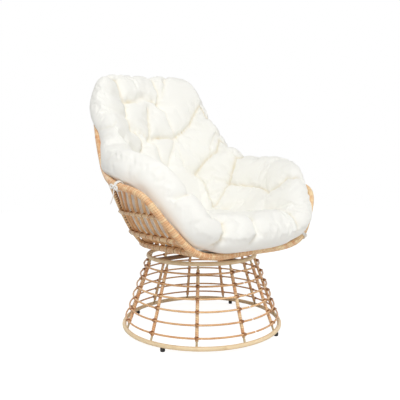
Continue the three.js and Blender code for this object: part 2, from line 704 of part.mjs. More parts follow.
// Posts at the seat's rear corners, notched over the middle and top hoops, down to the low one
for (const [sideName, side] of [['right', 1], ['left', -1]]) {
  const crossings = [
    onHoopAtLength(lowHoop, POST_ON_LOW_HOOP),
    onHoopAtLength(middleHoop, POST_ON_MIDDLE_HOOP),
    onHoopAtLength(topHoop, POST_ON_TOP_HOOP),
  ];
  const rimEnd = rimAtLength(POST_ON_RIM);
  const [, ...notched] = insideHoops(crossings, rimEnd, () => POST_NOTCH_INSET);
  const points = mirrored([crossings[0].point, ...notched, rimEnd], side);
  const post = caneAlong(curveThrough(points), POST_RADIUS, ROUND_SIDES, POST_STEPS);
  addPiece(seat, `back_post_${sideName}`, toGeometry(post), finishes.rattan);
}

// Back lattice: two bands and the ribs bound to them, fanning out a little from the low hoop up to the rim
const backCanes = [lowBand.solid, highBand.solid];
const ribFeet = [];
const ribCutters = [];
for (let i = -BACK_RIBS_EACH_SIDE; i <= BACK_RIBS_EACH_SIDE; i += 1) {
  const out = Math.abs(i);
  const rimEnd = rightRim.getPointAt(rimShareAtWidth(out * BACK_RIB_PITCH_ON_RIM));
  const crossings = [
    onHoopAtWidth(lowHoop, out * BACK_RIB_PITCH_ON_LOW_HOOP),
    onHoopAtWidth(middleHoop, out * BACK_RIB_PITCH_ON_MIDDLE_HOOP),
    onHoopAtWidth(topHoop, out * BACK_RIB_PITCH_ON_TOP_HOOP),
    onHoopAtWidth(lowBand, out * BACK_RIB_PITCH_ON_LOW_BAND),
  ];
  if (rimEnd.z > HIGH_BAND.height) {
    crossings.push(onHoopAtWidth(highBand, out * BACK_RIB_PITCH_ON_HIGH_BAND));
  }
  const inside = insideHoops(crossings, rimEnd, ribStandOff);
  ribFeet[out] = inside[0].clone().lerp(inside[1], (floorCaneHeight - inside[0].z) / (inside[1].z - inside[0].z));
  const curve = ribCurve(inside, rimEnd, Math.sign(i) || 1);
  backCanes.push(caneAlong(curve, RIB_RADIUS, THIN_SIDES, RIB_STEPS));
  ribCutters.push(tubeCutter(curve, RIB_RADIUS, THIN_SIDES, RIB_STEPS));
}
addPiece(seat, 'back_lattice', toGeometry(joined(backCanes)), finishes.rattan);

// Square plate with round corners, the pivot's hole and four bolt holes
function plateOutline(pivotHoleRadius) {
  const half = PLATE_SIDE / 2;
  const corner = half - PLATE_CORNER_RADIUS;
  const outline = new THREE.Shape();
  outline.moveTo(half, corner);
  outline.absarc(corner, corner, PLATE_CORNER_RADIUS, 0, Math.PI / 2);
  outline.absarc(-corner, corner, PLATE_CORNER_RADIUS, Math.PI / 2, Math.PI);
  outline.absarc(-corner, -corner, PLATE_CORNER_RADIUS, Math.PI, 1.5 * Math.PI);
  outline.absarc(corner, -corner, PLATE_CORNER_RADIUS, 1.5 * Math.PI, 2 * Math.PI);
  outline.closePath();
  outline.holes.push(roundHole(0, 0, pivotHoleRadius, TURNED_STEPS));
  for (const [x, y] of [[1, 1], [-1, 1], [-1, -1], [1, -1]]) {
    const place = PLATE_HOLE_SPACING / 2;
    outline.holes.push(roundHole(x * place, y * place, PLATE_HOLE_RADIUS, ROUND_SIDES));
  }
  return outline;
}

// Base cross, inside the top ring
const pivotHole = PIVOT_RADIUS + TOUCH_GAP;
const ringCutter = toSolid(
  ringAboutZ(BASE_TOP_RADIUS, RING_TUBE_RADIUS + TOUCH_GAP, topRingHeight, RING_SIDES, RING_STEPS),
);
const baseCross = crossOutline(CROSS_WIDTH / 2, BASE_TOP_RADIUS, BASE_TOP_RADIUS, BASE_TOP_RADIUS);
baseCross.holes.push(roundHole(0, 0, pivotHole, TURNED_STEPS));
const baseCrossSolid = toSolid(flatPiece(baseCross, baseCrossTop - BASE_CROSS_THICKNESS, baseCrossTop));
addPiece(base, 'base_cross', toGeometry(baseCrossSolid.subtract(ringCutter)), finishes.darkSteel);

// Swivel plates and the bearing rings between them
addPiece(base, 'swivel_plate_lower',
  flatPiece(plateOutline(pivotHole), lowerPlateBottom, lowerPlateTop), finishes.darkSteel);
addPiece(seat, 'swivel_plate_upper',
  flatPiece(plateOutline(PIVOT_RADIUS + PIVOT_RUNNING_GAP), upperPlateBottom, upperPlateTop), finishes.darkSteel);

// A bearing ring, its chamfers towards the plate that it is fixed to
function bearingRing(fixedFace, runningFace) {
  const inwards = Math.sign(runningFace - fixedFace) * BEARING_CHAMFER;
  const pairs = [
    [BEARING_INNER_RADIUS, runningFace],
    [BEARING_INNER_RADIUS, fixedFace],
    [BEARING_OUTER_RADIUS - BEARING_CHAMFER, fixedFace],
    [BEARING_OUTER_RADIUS, fixedFace + inwards],
    [BEARING_OUTER_RADIUS, runningFace],
    [BEARING_INNER_RADIUS, runningFace],
  ];
  return turned(runningFace > fixedFace ? pairs : pairs.reverse());
}
const lowerBearingBottom = lowerPlateTop + TOUCH_GAP;
const upperBearingTop = upperPlateBottom - TOUCH_GAP;
addPiece(base, 'swivel_bearing_lower',
  bearingRing(lowerBearingBottom, lowerBearingBottom + bearingHeight), finishes.boltSteel);
addPiece(seat, 'swivel_bearing_upper',
  bearingRing(upperBearingTop, upperBearingTop - bearingHeight), finishes.boltSteel);

// Pivot bolt, fixed in the base cross and running through the seat's plate and cross
const pivotBottom = baseCrossTop - BASE_CROSS_THICKNESS - TOUCH_GAP;
const pivotShoulder = seatCrossTop + PIVOT_RUNNING_GAP;
addPiece(base, 'pivot_bolt', turned([
  [0, pivotBottom - PIVOT_HEAD_THICKNESS],
  [PIVOT_HEAD_RADIUS, pivotBottom - PIVOT_HEAD_THICKNESS],
  [PIVOT_HEAD_RADIUS, pivotBottom],
  [PIVOT_RADIUS, pivotBottom],
  [PIVOT_RADIUS, pivotShoulder],
  [PIVOT_HEAD_RADIUS, pivotShoulder],
  [PIVOT_HEAD_RADIUS, pivotShoulder + PIVOT_HEAD_THICKNESS],
  [0, pivotShoulder + PIVOT_HEAD_THICKNESS],
]), finishes.boltSteel);

// The place of the rim's front bar at a distance from the middle
function rimFrontAtWidth(width) {
  let low = 0;
  let high = 0.2;
  for (let i = 0; i < 40; i += 1) {
    const middle = (low + high) / 2;
    if (rightRim.getPointAt(middle).x < width) low = middle;
    else high = middle;
  }
  return rightRim.getPointAt(low);
}

// Seat floor: canes laid on the seat's cross, each midway between the feet of two back ribs,
// under two cross canes from side to side of the low hoop
const floorCanes = [];
for (let i = 0; i < FLOOR_CANES_EACH_SIDE; i += 1) {
  const x = (ribFeet[2 * i + 1].x + ribFeet[2 * i + 2].x) / 2;
  const front = rimFrontAtWidth(x);
  const back = onHoopAtWidth(lowHoop, x).point;
  for (const side of [1, -1]) {
    const line = new THREE.LineCurve3(
      new THREE.Vector3(side * x, front.y, floorCaneHeight),
      new THREE.Vector3(side * x, back.y, floorCaneHeight),
    );
    floorCanes.push(caneAlong(line, RIB_RADIUS, THIN_SIDES, 1, [...frameCutters, ...ribCutters]));
  }
}
for (const y of [FLOOR_CROSS_CANE_FRONT, FLOOR_CROSS_CANE_BACK]) {
  const end = hoopWidthAt(lowHoop, y);
  const line = new THREE.LineCurve3(
    new THREE.Vector3(-end, y, floorCrossHeight),
    new THREE.Vector3(end, y, floorCrossHeight),
  );
  floorCanes.push(caneAlong(line, FLOOR_CROSS_CANE_RADIUS, ROUND_SIDES, 1));
}
addPiece(seat, 'seat_floor', toGeometry(joined(floorCanes)), finishes.rattan);

// Cushion: a thick quilted sheet, flat on the seat floor and climbing to a fat roll along its edge
const cushionMiddle = new THREE.Vector3(0, CUSHION_MIDDLE_Y, floorTop + TOUCH_GAP + CUSHION_BODY);
const clampShare = (value) => THREE.MathUtils.clamp(value, 0, 1);
const bump = (distance, spread) => Math.exp(-((distance / spread) ** 2));

function rollPoint([across, along, up], side) {
  return new THREE.Vector3(
    side * across * CUSHION_HALF_WIDTH,
    CUSHION_FRONT + along * (CUSHION_BACK - CUSHION_FRONT),
    CUSHION_LOW + up * (CUSHION_HIGH - CUSHION_LOW),
  );
}
const rollRight = rollRightShares.map((shares) => rollPoint(shares, 1));
const rollLeft = rollLeftShares.slice(1, -1).reverse().map((shares) => rollPoint(shares, -1));
const rollLine = new THREE.CatmullRomCurve3([...rollRight, ...rollLeft], true, 'centripetal');
rollLine.arcLengthDivisions = CURVE_SAMPLES;

// The cushion's top slips to the left, its left edge furthest, and tips its right corner up
function slipped(point) {
  const rise = clampShare((point.z - CUSHION_SLIP_FROM) / (CUSHION_SLIP_TO - CUSHION_SLIP_FROM));
  const across = THREE.MathUtils.clamp(point.x / CUSHION_SLIP_HALF_WIDTH, -1, 1);
  point.x -= CUSHION_SLIP * rise * (0.5 - 0.5 * across);
  point.z += CUSHION_TILT * rise * THREE.MathUtils.clamp(2 * across, -1, 1);
  return point;
}

// The middle of the cushion's thickness, at a share of the way round and a share of the way out
function sheetPoint(round, out) {
  const roll = rollLine.getPointAt(round % 1);
  const reach = roll.clone().sub(cushionMiddle);
  const backness = clampShare(reach.y / Math.hypot(reach.x, reach.y));
  const flat = THREE.MathUtils.lerp(flatShares.side, flatShares.back, backness ** 2);
  const climb = Math.max(0, (out - flat) / (1 - flat)) ** CUSHION_CLIMB;
  return slipped(cushionMiddle.clone().add(new THREE.Vector3(reach.x * out, reach.y * out, reach.z * climb)));
}

// Directions at a place on the sheet: outwards along it, and square to it on the sitter's side
function sheetFrame(round, out) {
  const { outReach, roundReach } = frameShares;
  const along = sheetPoint(round + roundReach, out).sub(sheetPoint(round + 1 - roundReach, out));
  const middle = Math.min(out, 1 - outReach);
  const outwards = sheetPoint(round, middle + outReach).sub(sheetPoint(round, middle - outReach)).normalize();
  const up = new THREE.Vector3().crossVectors(outwards, along).normalize();
  return { outwards, up };
}

function rollRadius(round) {
  const { y } = rollLine.getPointAt(round % 1);
  const frontness = clampShare((CUSHION_BACK - y) / (CUSHION_BACK - CUSHION_FRONT));
  return THREE.MathUtils.lerp(CUSHION_ROLL_BACK, CUSHION_ROLL_FRONT, frontness);
}

// Half thicknesses on the sitter's side and on the under side, which the canes press thinner as it climbs
function sitterHalf(round, out) {
  const rollness = clampShare((out - TOP_ROLL_SHARE) / (1 - TOP_ROLL_SHARE));
  return THREE.MathUtils.lerp(CUSHION_BODY, rollRadius(round), rollness);
}

function underHalf(round, out) {
  const { from, to, rollFrom } = pressedShares;
  const pressed = THREE.MathUtils.lerp(CUSHION_BODY, CUSHION_PRESSED, clampShare((out - from) / (to - from)));
  return THREE.MathUtils.lerp(pressed, rollRadius(round), clampShare((out - rollFrom) / (1 - rollFrom)));
}

// A point of the full skin, before its folds, and the way out of it, at a share of the way out or, on the
// roll's outer side, at an angle from the sitter's side
function fullSkin(round, out, angle) {
  const { outwards, up } = sheetFrame(round, out);
  const half = angle < Math.PI ? sitterHalf(round, out) : underHalf(round, out);
  const way = up.multiplyScalar(Math.cos(angle)).addScaledVector(outwards, Math.sin(angle));
  return { point: sheetPoint(round, out).addScaledVector(way, half), way };
}

function skinAtShares([round, out]) {
  return fullSkin(round, Math.min(out, 1), clampShare(out - 1) * Math.PI).point;
}

// Points on the full skin along a fold's course
function foldPoints(courseShares) {
  const points = [];
  for (let i = 1; i < courseShares.length; i += 1) {
    for (let step = 0; step <= FOLD_STEPS; step += 1) {
      const [from, to] = [courseShares[i - 1], courseShares[i]];
      points.push(skinAtShares(from.map((share, axis) => THREE.MathUtils.lerp(share, to[axis], step / FOLD_STEPS))));
    }
  }
  return points;
}
const cushionFolds = [
  { depth: TUFT_DEPTH, spread: TUFT_SPREAD, points: tuftShares.map(skinAtShares) },
  { depth: DEEP_FOLD, spread: FOLD_SPREAD, points: deepFoldShares.flatMap(foldPoints) },
  { depth: SOFT_FOLD, spread: FOLD_SPREAD, points: softFoldShares.flatMap(foldPoints) },
];

// How far the deepest fold or tuft near a point of the full skin draws it in
function drawnAt(point) {
  let drawn = 0;
  for (const { depth, spread, points } of cushionFolds) {
    const nearest = Math.min(...points.map((place) => place.distanceTo(point)));
    drawn = Math.max(drawn, depth * bump(nearest, spread));
  }
  return drawn;
}

// The filling rounds the sheet's inner corners: each point between the first and last ring moves towards
// the middle of its neighbours
function rounded(rings) {
  return rings.map((ring, i) => {
    if (i === 0 || i === rings.length - 1) return ring;
    return ring.map((place, k) => {
      const before = ring[(k + ring.length - 1) % ring.length];
      const after = ring[(k + 1) % ring.length];
      const middle = new THREE.Vector3();
      for (const near of [before, after, rings[i - 1][k], rings[i + 1][k]]) middle.addScaledVector(near, 1 / 4);
      return place.clone().lerp(middle, ROUNDING_SHARE);
    });
  });
}

function cushionSolid() {
  const skins = ringShares.map((out) => columnShares.map((round) => fullSkin(round, out, 0)));
  let sitterRings = skins.map((ring) => ring.map(({ point }) => point));
  for (let i = 0; i < ROUNDING_PASSES; i += 1) sitterRings = rounded(sitterRings);
  const rings = sitterRings.map((ring, i) => ring.map(
    (place, k) => place.clone().addScaledVector(skins[i][k].way, -drawnAt(skins[i][k].point)),
  ));
  const rollAndUnder = [];
  for (let i = 1; i <= CUSHION_EDGE_RINGS; i += 1) {
    rollAndUnder.push([1, (i / (CUSHION_EDGE_RINGS + 1)) * Math.PI]);
  }
  for (let i = CUSHION_UNDER_RINGS; i > 0; i -= 1) rollAndUnder.push([i / CUSHION_UNDER_RINGS, Math.PI]);
  for (const [out, angle] of rollAndUnder) {
    rings.push(columnShares.map((round) => {
      const { point, way } = fullSkin(round, out, angle);
      return point.clone().addScaledVector(way, -drawnAt(point));
    }));
  }
  const positions = [];
  const pushPoint = (point) => positions.push(point.x, point.y, point.z);
  pushPoint(cushionMiddle.clone().setZ(cushionMiddle.z + CUSHION_BODY));
  rings.flat().forEach(pushPoint);
  pushPoint(cushionMiddle.clone().setZ(cushionMiddle.z - CUSHION_BODY));
  const last = positions.length / 3 - 1;
  const columns = columnShares.length;
  const triangles = [];
  for (let i = 0; i < columns; i += 1) {
    const next = (i + 1) % columns;
    triangles.push(0, 1 + i, 1 + next);
    for (let ring = 0; ring < rings.length - 1; ring += 1) {
      const inner = 1 + ring * columns;
      const outer = inner + columns;
      triangles.push(inner + i, outer + i, outer + next, inner + i, outer + next, inner + next);
    }
    const rim = last - columns;
    triangles.push(last, rim + next, rim + i);
  }
  const geometry = new THREE.BufferGeometry();
  geometry.setAttribute('position', new THREE.Float32BufferAttribute(positions, 3));
  geometry.setIndex(triangles);
  return toSolid(geometry);
}

// It gives way to every cane that it leans on
const leaningCutters = [...frameCutters, lowBand.cutter, highBand.cutter, ...ribCutters];
addPiece(seat, 'cushion', toGeometry(coped(cushionSolid(), leaningCutters)), finishes.canvas);

// Ties, seen along the rim: the cord's ring round it and a knot on the outer side
function tieParts(rimLength, side, bowLoops) {
  const share = rimShareAtTopHoop + rimLength / rimHalfLength;
  const [place, along] = mirrored([rightRim.getPointAt(share), rightRim.getTangentAt(share)], side);
  const outwards = new THREE.Vector3(along.y, -along.x, 0).multiplyScalar(side).normalize();
  const knot = place.clone().addScaledVector(outwards, RIM_TUBE_RADIUS + TOUCH_GAP + TIE_KNOT_RADIUS);
  const ringRadius = (RIM_TUBE_RADIUS + TOUCH_GAP) / Math.cos(Math.PI / TIE_RING_STEPS) + TIE_CORD_RADIUS;
  const ring = new THREE.TorusGeometry(ringRadius, TIE_CORD_RADIUS, TIE_SIDES, TIE_RING_STEPS);
  ring.applyQuaternion(new THREE.Quaternion().setFromUnitVectors(new THREE.Vector3(0, 0, 1), along));
  ring.translate(place.x, place.y, place.z);
  const ball = new THREE.SphereGeometry(TIE_KNOT_RADIUS, ROUND_SIDES, THIN_SIDES);
  ball.translate(knot.x, knot.y, knot.z);
  const solids = [toSolid(ring), toSolid(ball)];
  for (const way of bowLoops) {
    const loop = new THREE.TorusGeometry(TIE_BOW_RADIUS, TIE_BOW_CORD_RADIUS, TIE_SIDES, TIE_RING_STEPS);
    loop.applyQuaternion(new THREE.Quaternion().setFromUnitVectors(new THREE.Vector3(0, 0, 1), outwards));
    const centre = knot.clone().addScaledVector(along, way * TIE_BOW_SPREAD);
    loop.translate(centre.x, centre.y, centre.z - TIE_BOW_DROP);
    solids.push(toSolid(loop));
  }
  return { solid: joined(solids), knot, outwards, along };
}

for (const [sideName, side] of [['right', 1], ['left', -1]]) {
  const { solid, knot, outwards, along } = tieParts(REAR_TIE_ON_RIM, side, [1, -1]);
  addPiece(seat, `tie_rear_${sideName}`, toGeometry(solid), finishes.canvas);
  const start = knot.z - TIE_KNOT_RADIUS - TOUCH_GAP;
  const points = [];
  for (let i = 0; i <= TIE_TAIL_POINTS; i += 1) {
    const share = i / TIE_TAIL_POINTS;
    const point = knot.clone().setZ(start - share * TIE_TAIL_LENGTH);
    point.addScaledVector(outwards, TIE_TAIL_DRIFT * share ** 2);
    points.push(point.addScaledVector(along, TIE_TAIL_DRIFT * share ** 2));
  }
  const tail = tubeAlong(new THREE.CatmullRomCurve3(points), TIE_BOW_CORD_RADIUS, ROUND_SIDES, TIE_TAIL_POINTS);
  addPiece(seat, `tie_rear_${sideName}_tail`, tail, finishes.canvas);
}
addPiece(seat, 'tie_front_right', toGeometry(tieParts(FRONT_TIE_BEFORE_RIM, 1, []).solid), finishes.canvas);

// The origin is under the middle of the chair's own box, on the floor
chair.updateMatrixWorld(true);
const chairBox = new THREE.Box3().setFromObject(chair, true);
const chairMiddle = chairBox.getCenter(new THREE.Vector3());
chair.position.set(-chairMiddle.x, -chairMiddle.y, -chairBox.min.z);

export default chair;
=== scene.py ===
"""Swivel papasan lounge chair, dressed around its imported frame.

Sizes are in millimetres about the swivel's axis, as the canes were set out, and become metres in the
frame's own axes when a mesh is made. The seat faces -Y.
"""
import sys

import logging
import math
from dataclasses import dataclass, field
from enum import Enum
from typing import Any, Callable, ClassVar, Iterable, Optional, Sequence, Union

import bpy
import numpy as np
from mathutils import Matrix, Vector
from mathutils.kdtree import KDTree

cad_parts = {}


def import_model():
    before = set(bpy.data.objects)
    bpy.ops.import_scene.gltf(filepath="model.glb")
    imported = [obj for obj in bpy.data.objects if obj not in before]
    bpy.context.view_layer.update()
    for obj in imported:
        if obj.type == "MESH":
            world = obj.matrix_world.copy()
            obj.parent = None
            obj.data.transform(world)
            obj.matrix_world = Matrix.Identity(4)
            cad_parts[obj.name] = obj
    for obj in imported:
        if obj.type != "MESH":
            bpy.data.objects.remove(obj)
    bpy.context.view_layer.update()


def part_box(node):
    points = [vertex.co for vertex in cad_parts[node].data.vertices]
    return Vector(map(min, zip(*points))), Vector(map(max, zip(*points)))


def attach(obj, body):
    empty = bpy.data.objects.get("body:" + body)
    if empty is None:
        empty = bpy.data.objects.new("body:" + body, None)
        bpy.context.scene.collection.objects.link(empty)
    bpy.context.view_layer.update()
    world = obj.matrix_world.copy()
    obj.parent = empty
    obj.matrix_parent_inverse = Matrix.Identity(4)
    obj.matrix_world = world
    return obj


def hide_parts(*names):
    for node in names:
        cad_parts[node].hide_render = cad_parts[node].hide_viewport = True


log = logging.getLogger("papasan")

MM = 0.001
SWIVEL_Y = -59.935
SIDES = (("right", 1), ("left", -1))


def to_frame(points: np.ndarray) -> np.ndarray:
    """Moves points from the swivel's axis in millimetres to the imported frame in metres.

    Args:
        points: An array whose last axis is x, y, z.

    Returns:
        The same points in the frame.
    """
    return (np.asarray(points, float) + (0.0, SWIVEL_Y, 0.0)) * MM


def from_frame(points: np.ndarray) -> np.ndarray:
    """Moves points from the frame in metres back to the swivel's axis in millimetres."""
    return points / MM - (0.0, SWIVEL_Y, 0.0)


def put(name: str, data: bpy.types.ID) -> bpy.types.Object:
    """Puts a new object of some data into the scene."""
    thing = bpy.data.objects.new(name, data)
    bpy.context.scene.collection.objects.link(thing)
    return thing


def ramp(value: np.ndarray, start: float, over: float) -> np.ndarray:
    """Gives 0 up to a start and from there rises to 1 over a stretch."""
    return np.clip((value - start) / over, 0, 1)


def linear(red: int, green: int, blue: int) -> tuple[float, float, float, float]:
    """Turns a screen colour into the linear colour that a shader takes.

    Args:
        red: Red from 0 to 255.
        green: Green from 0 to 255.
        blue: Blue from 0 to 255.

    Returns:
        Linear red, green, blue and an alpha of 1.
    """
    parts = []
    for value in (red, green, blue):
        share = value / 255
        parts.append(share / 12.92 if share <= 0.04045 else ((share + 0.055) / 1.055) ** 2.4)
    return (parts[0], parts[1], parts[2], 1.0)


def math_operator(operation: str, swapped: bool = False) -> Callable[["Value", "Term"], "Value"]:
    """Makes an operator for Value.

    Args:
        operation: The Math node's operation.
        swapped: Whether the other term comes first.

    Returns:
        The operator.
    """
    def act(value: "Value", other: "Term") -> "Value":
        """Adds the node to the value's tree."""
        terms = (other, value) if swapped else (value, other)
        return value.nodes.maths(operation, *terms)

    return act


class Value:
    """A node's output that takes part in arithmetic, each step adding a Math node."""

    def __init__(self, nodes: "Nodes", socket: bpy.types.NodeSocket) -> None:
        """Keeps the socket and the tree that it belongs to."""
        self.nodes = nodes
        self.socket = socket

    __add__ = __radd__ = math_operator("ADD")
    __mul__ = __rmul__ = math_operator("MULTIPLY")
    __sub__ = math_operator("SUBTRACT")
    __rsub__ = math_operator("SUBTRACT", swapped=True)
    __truediv__ = math_operator("DIVIDE")
    __pow__ = math_operator("POWER")


Term = Union[Value, float, int]


class Nodes:
    """Adds nodes to one tree."""

    def __init__(self, tree: bpy.types.NodeTree) -> None:
        """Keeps the tree."""
        self.tree = tree

    def add(self, kind: str, settings: Optional[dict[str, Any]] = None,
            inputs: Optional[dict[Any, Any]] = None) -> bpy.types.Node:
        """Adds a node.

        Args:
            kind: The node's type.
            settings: Its own settings, set before its sockets.
            inputs: Values or links for its sockets, by name, identifier or number.

        Returns:
            The new node.
        """
        node = self.tree.nodes.new(kind)
        for name, value in (settings or {}).items():
            setattr(node, name, value)
        for key, value in (inputs or {}).items():
            socket = node.inputs[key] if isinstance(key, int) else self._socket(node, key)
            if isinstance(value, Value):
                self.tree.links.new(value.socket, socket)
            else:
                socket.default_value = value
        return node

    @staticmethod
    def _socket(node: bpy.types.Node, key: str) -> bpy.types.NodeSocket:
        """Finds an input by its identifier, or else by its name."""
        for socket in node.inputs:
            if socket.identifier == key:
                return socket
        return node.inputs[key]

    def value(self, kind: str, settings: Optional[dict[str, Any]] = None,
              inputs: Optional[dict[Any, Any]] = None, output: Union[int, str] = 0) -> Value:
        """Adds a node and returns one of its outputs.

        Args:
            kind: The node's type.
            settings: Its own settings.
            inputs: Values or links for its sockets.
            output: The output's name or number.

        Returns:
            The output.
        """
        return Value(self, self.add(kind, settings, inputs).outputs[output])

    def maths(self, operation: str, *terms: Term) -> Value:
        """Adds a Math node.

        Args:
            operation: The node's operation.
            terms: Its terms in order.

        Returns:
            Its result.
        """
        return self.value("ShaderNodeMath", {"operation": operation}, dict(enumerate(terms)))

    def blend(self, share: Term, low: Any, high: Any) -> Value:
        """Mixes two colours by a share."""
        return self.value("ShaderNodeMix", {"data_type": "RGBA", "clamp_factor": True},
                          {"Factor_Float": share, "A_Color": low, "B_Color": high}, 2)

    def bands(self, share: Value, stops: Sequence[tuple[float, float]]) -> Value:
        """Maps a value through grey stops of a smooth ramp."""
        node = self.tree.nodes.new("ShaderNodeValToRGB")
        node.color_ramp.interpolation = "EASE"
        while len(node.color_ramp.elements) < len(stops):
            node.color_ramp.elements.new(0.5)
        for element, (place, grey) in zip(node.color_ramp.elements, stops):
            element.position = place
            element.color = (grey, grey, grey, 1.0)
        self.tree.links.new(share.socket, node.inputs[0])
        return Value(self, node.outputs[0])

    def split(self, vector: Value) -> list[Value]:
        """Gives a vector's three parts."""
        node = self.add("ShaderNodeSeparateXYZ", None, {0: vector})
        return [Value(self, output) for output in node.outputs]


class Surface(Nodes):
    """A material's node tree with its Principled shader."""

    def __init__(self, name: str) -> None:
        """Makes an empty material of that name."""
        self.material = bpy.data.materials.new(name)
        self.material.use_nodes = True
        super().__init__(self.material.node_tree)
        self.shader = self.tree.nodes["Principled BSDF"]

    def dress(self, **inputs: Any) -> bpy.types.Material:
        """Sets or links the shader's sockets, with underscores for the spaces of their names.

        Args:
            inputs: Values or links by socket name.

        Returns:
            The material.
        """
        for name, value in inputs.items():
            socket = self.shader.inputs[name.replace("_", " ").title()]
            if isinstance(value, Value):
                self.tree.links.new(value.socket, socket)
            else:
                socket.default_value = value
        return self.material

    def place(self) -> Value:
        """Gives the object's own coordinates."""
        return self.value("ShaderNodeTexCoord", output="Object")

    def noise(self, vector: Value, scale: float, detail: float = 2.0) -> Value:
        """Gives smooth noise of a scale on a vector."""
        return self.value("ShaderNodeTexNoise", None, {"Vector": vector, "Scale": scale, "Detail": detail})

    def stretch(self, vector: Value, scale: Sequence[float]) -> Value:
        """Scales a vector by three numbers."""
        return self.value("ShaderNodeMapping", None, {"Vector": vector, "Scale": tuple(scale)})

    def bump(self, height: Value, depth: float, strength: float) -> Value:
        """Turns a height from 0 to 1 into a bent normal, depth in metres."""
        return self.value("ShaderNodeBump", None,
                          {"Height": height, "Distance": depth, "Strength": strength})


@dataclass(frozen=True)
class RattanFinish:
    """Honey rattan: fibres along the cane, a tone for each cane, and strips where it is wrapped, with painted
    shade in the grooves between the strips.
    """

    name: str
    pale: tuple[int, int, int]
    deep: tuple[int, int, int]
    strip: float = 0.0
    groove_share: float = 0.16
    # The next three settings are painted shade: how much the grooves between wrapped strips are darkened, and
    # how far they are blended towards a shadow colour.
    groove_painted_shade: float = 0.3
    groove_shadow: float = 0.6
    shadow: tuple[int, int, int] = (112, 62, 28)
    fibre_part: float = 0.34
    patch_part: float = 0.22
    tone_part: float = 0.4
    least: float = 0.04
    strip_part: float = 0.56
    fibre_scale: tuple[float, float, float] = (26.0, 30.0, 1.0)
    fibre_stops: tuple[tuple[float, float], ...] = ((0.32, 0.0), (0.68, 1.0))
    fibre_height: float = 0.25
    patch_scale: float = 34.0
    patch_stops: tuple[tuple[float, float], ...] = ((0.36, 0.0), (0.64, 1.0))
    tone_rows: float = 50.0
    roughness: float = 0.5
    gloss_part: float = 0.2

    def build(self) -> bpy.types.Material:
        """Makes the material from the cane's own UV map: u round it, v along it in metres."""
        surface = Surface(self.name)
        uv = surface.value("ShaderNodeUVMap", {"uv_map": "UVMap"})
        around, along, _ = surface.split(uv)
        tone = surface.value("ShaderNodeAttribute", {"attribute_name": "tone"}, output="Fac")
        streaks = surface.noise(surface.stretch(uv, self.fibre_scale), scale=1.0, detail=3.0)
        patches = surface.bands(surface.noise(surface.place(), self.patch_scale), self.patch_stops)
        fibres = surface.bands(streaks, self.fibre_stops)
        shade = fibres * self.fibre_part + patches * self.patch_part + tone * self.tone_part + self.least
        height = streaks * self.fibre_height
        if self.strip:
            turn = along / self.strip + around
            row = surface.maths("FLOOR", turn)
            within = surface.maths("FRACT", turn)
            edge = surface.maths("ABSOLUTE", within - 0.5) * 2.0
            groove = surface.bands(edge, ((1.0 - self.groove_share, 0.0), (1.0, 1.0)))
            strip_tone = surface.value("ShaderNodeTexWhiteNoise", {"noise_dimensions": "1D"},
                                       {"W": row + tone * self.tone_rows})
            # painted shade: the grooves between the strips are darkened
            shade = shade + strip_tone * self.strip_part - self.strip_part / 2 - groove * self.groove_painted_shade
            height = height - groove
        colour = surface.blend(shade, linear(*self.deep), linear(*self.pale))
        if self.strip:
            # painted shade: the grooves are blended towards the shadow colour
            colour = surface.blend(groove * self.groove_shadow, colour, linear(*self.shadow))
        return surface.dress(
            base_color=colour,
            roughness=self.roughness - streaks * self.gloss_part,
            coat_weight=0.2,
            normal=surface.bump(height, depth=0.0006, strength=0.7),
        )


@dataclass(frozen=True)
class MetalFinish:
    """Painted or plain steel with a little wear and unevenness in its gloss."""

    name: str
    colour: tuple[int, int, int]
    worn: tuple[int, int, int]
    metallic: float
    roughness: float
    unevenness: float = 0.16
    wear_stops: tuple[tuple[float, float], ...] = ((0.45, 0.0), (0.75, 1.0))

    def build(self) -> bpy.types.Material:
        """Makes the material."""
        surface = Surface(self.name)
        place = surface.place()
        wear = surface.bands(surface.noise(place, scale=22.0, detail=3.0), self.wear_stops)
        fine = surface.noise(place, scale=420.0)
        colour = surface.blend(wear, linear(*self.colour), linear(*self.worn))
        return surface.dress(
            base_color=colour,
            metallic=self.metallic,
            roughness=fine * self.unevenness + (self.roughness - self.unevenness / 2),
            normal=surface.bump(fine, depth=0.0002, strength=0.35),
        )


@dataclass(frozen=True)
class PlasticFinish:
    """Black moulded plastic, finely grained and scuffed."""

    name: str
    colour: tuple[int, int, int]
    scuffed: tuple[int, int, int]
    roughness: float = 0.45
    unevenness: float = 0.2

    def build(self) -> bpy.types.Material:
        """Makes the material."""
        surface = Surface(self.name)
        grain = surface.noise(surface.place(), scale=900.0)
        scuffs = surface.noise(surface.place(), scale=60.0, detail=3.0)
        colour = surface.blend(scuffs, linear(*self.colour), linear(*self.scuffed))
        return surface.dress(
            base_color=colour,
            roughness=grain * self.unevenness + self.roughness,
            normal=surface.bump(grain, depth=0.0002, strength=0.5),
        )


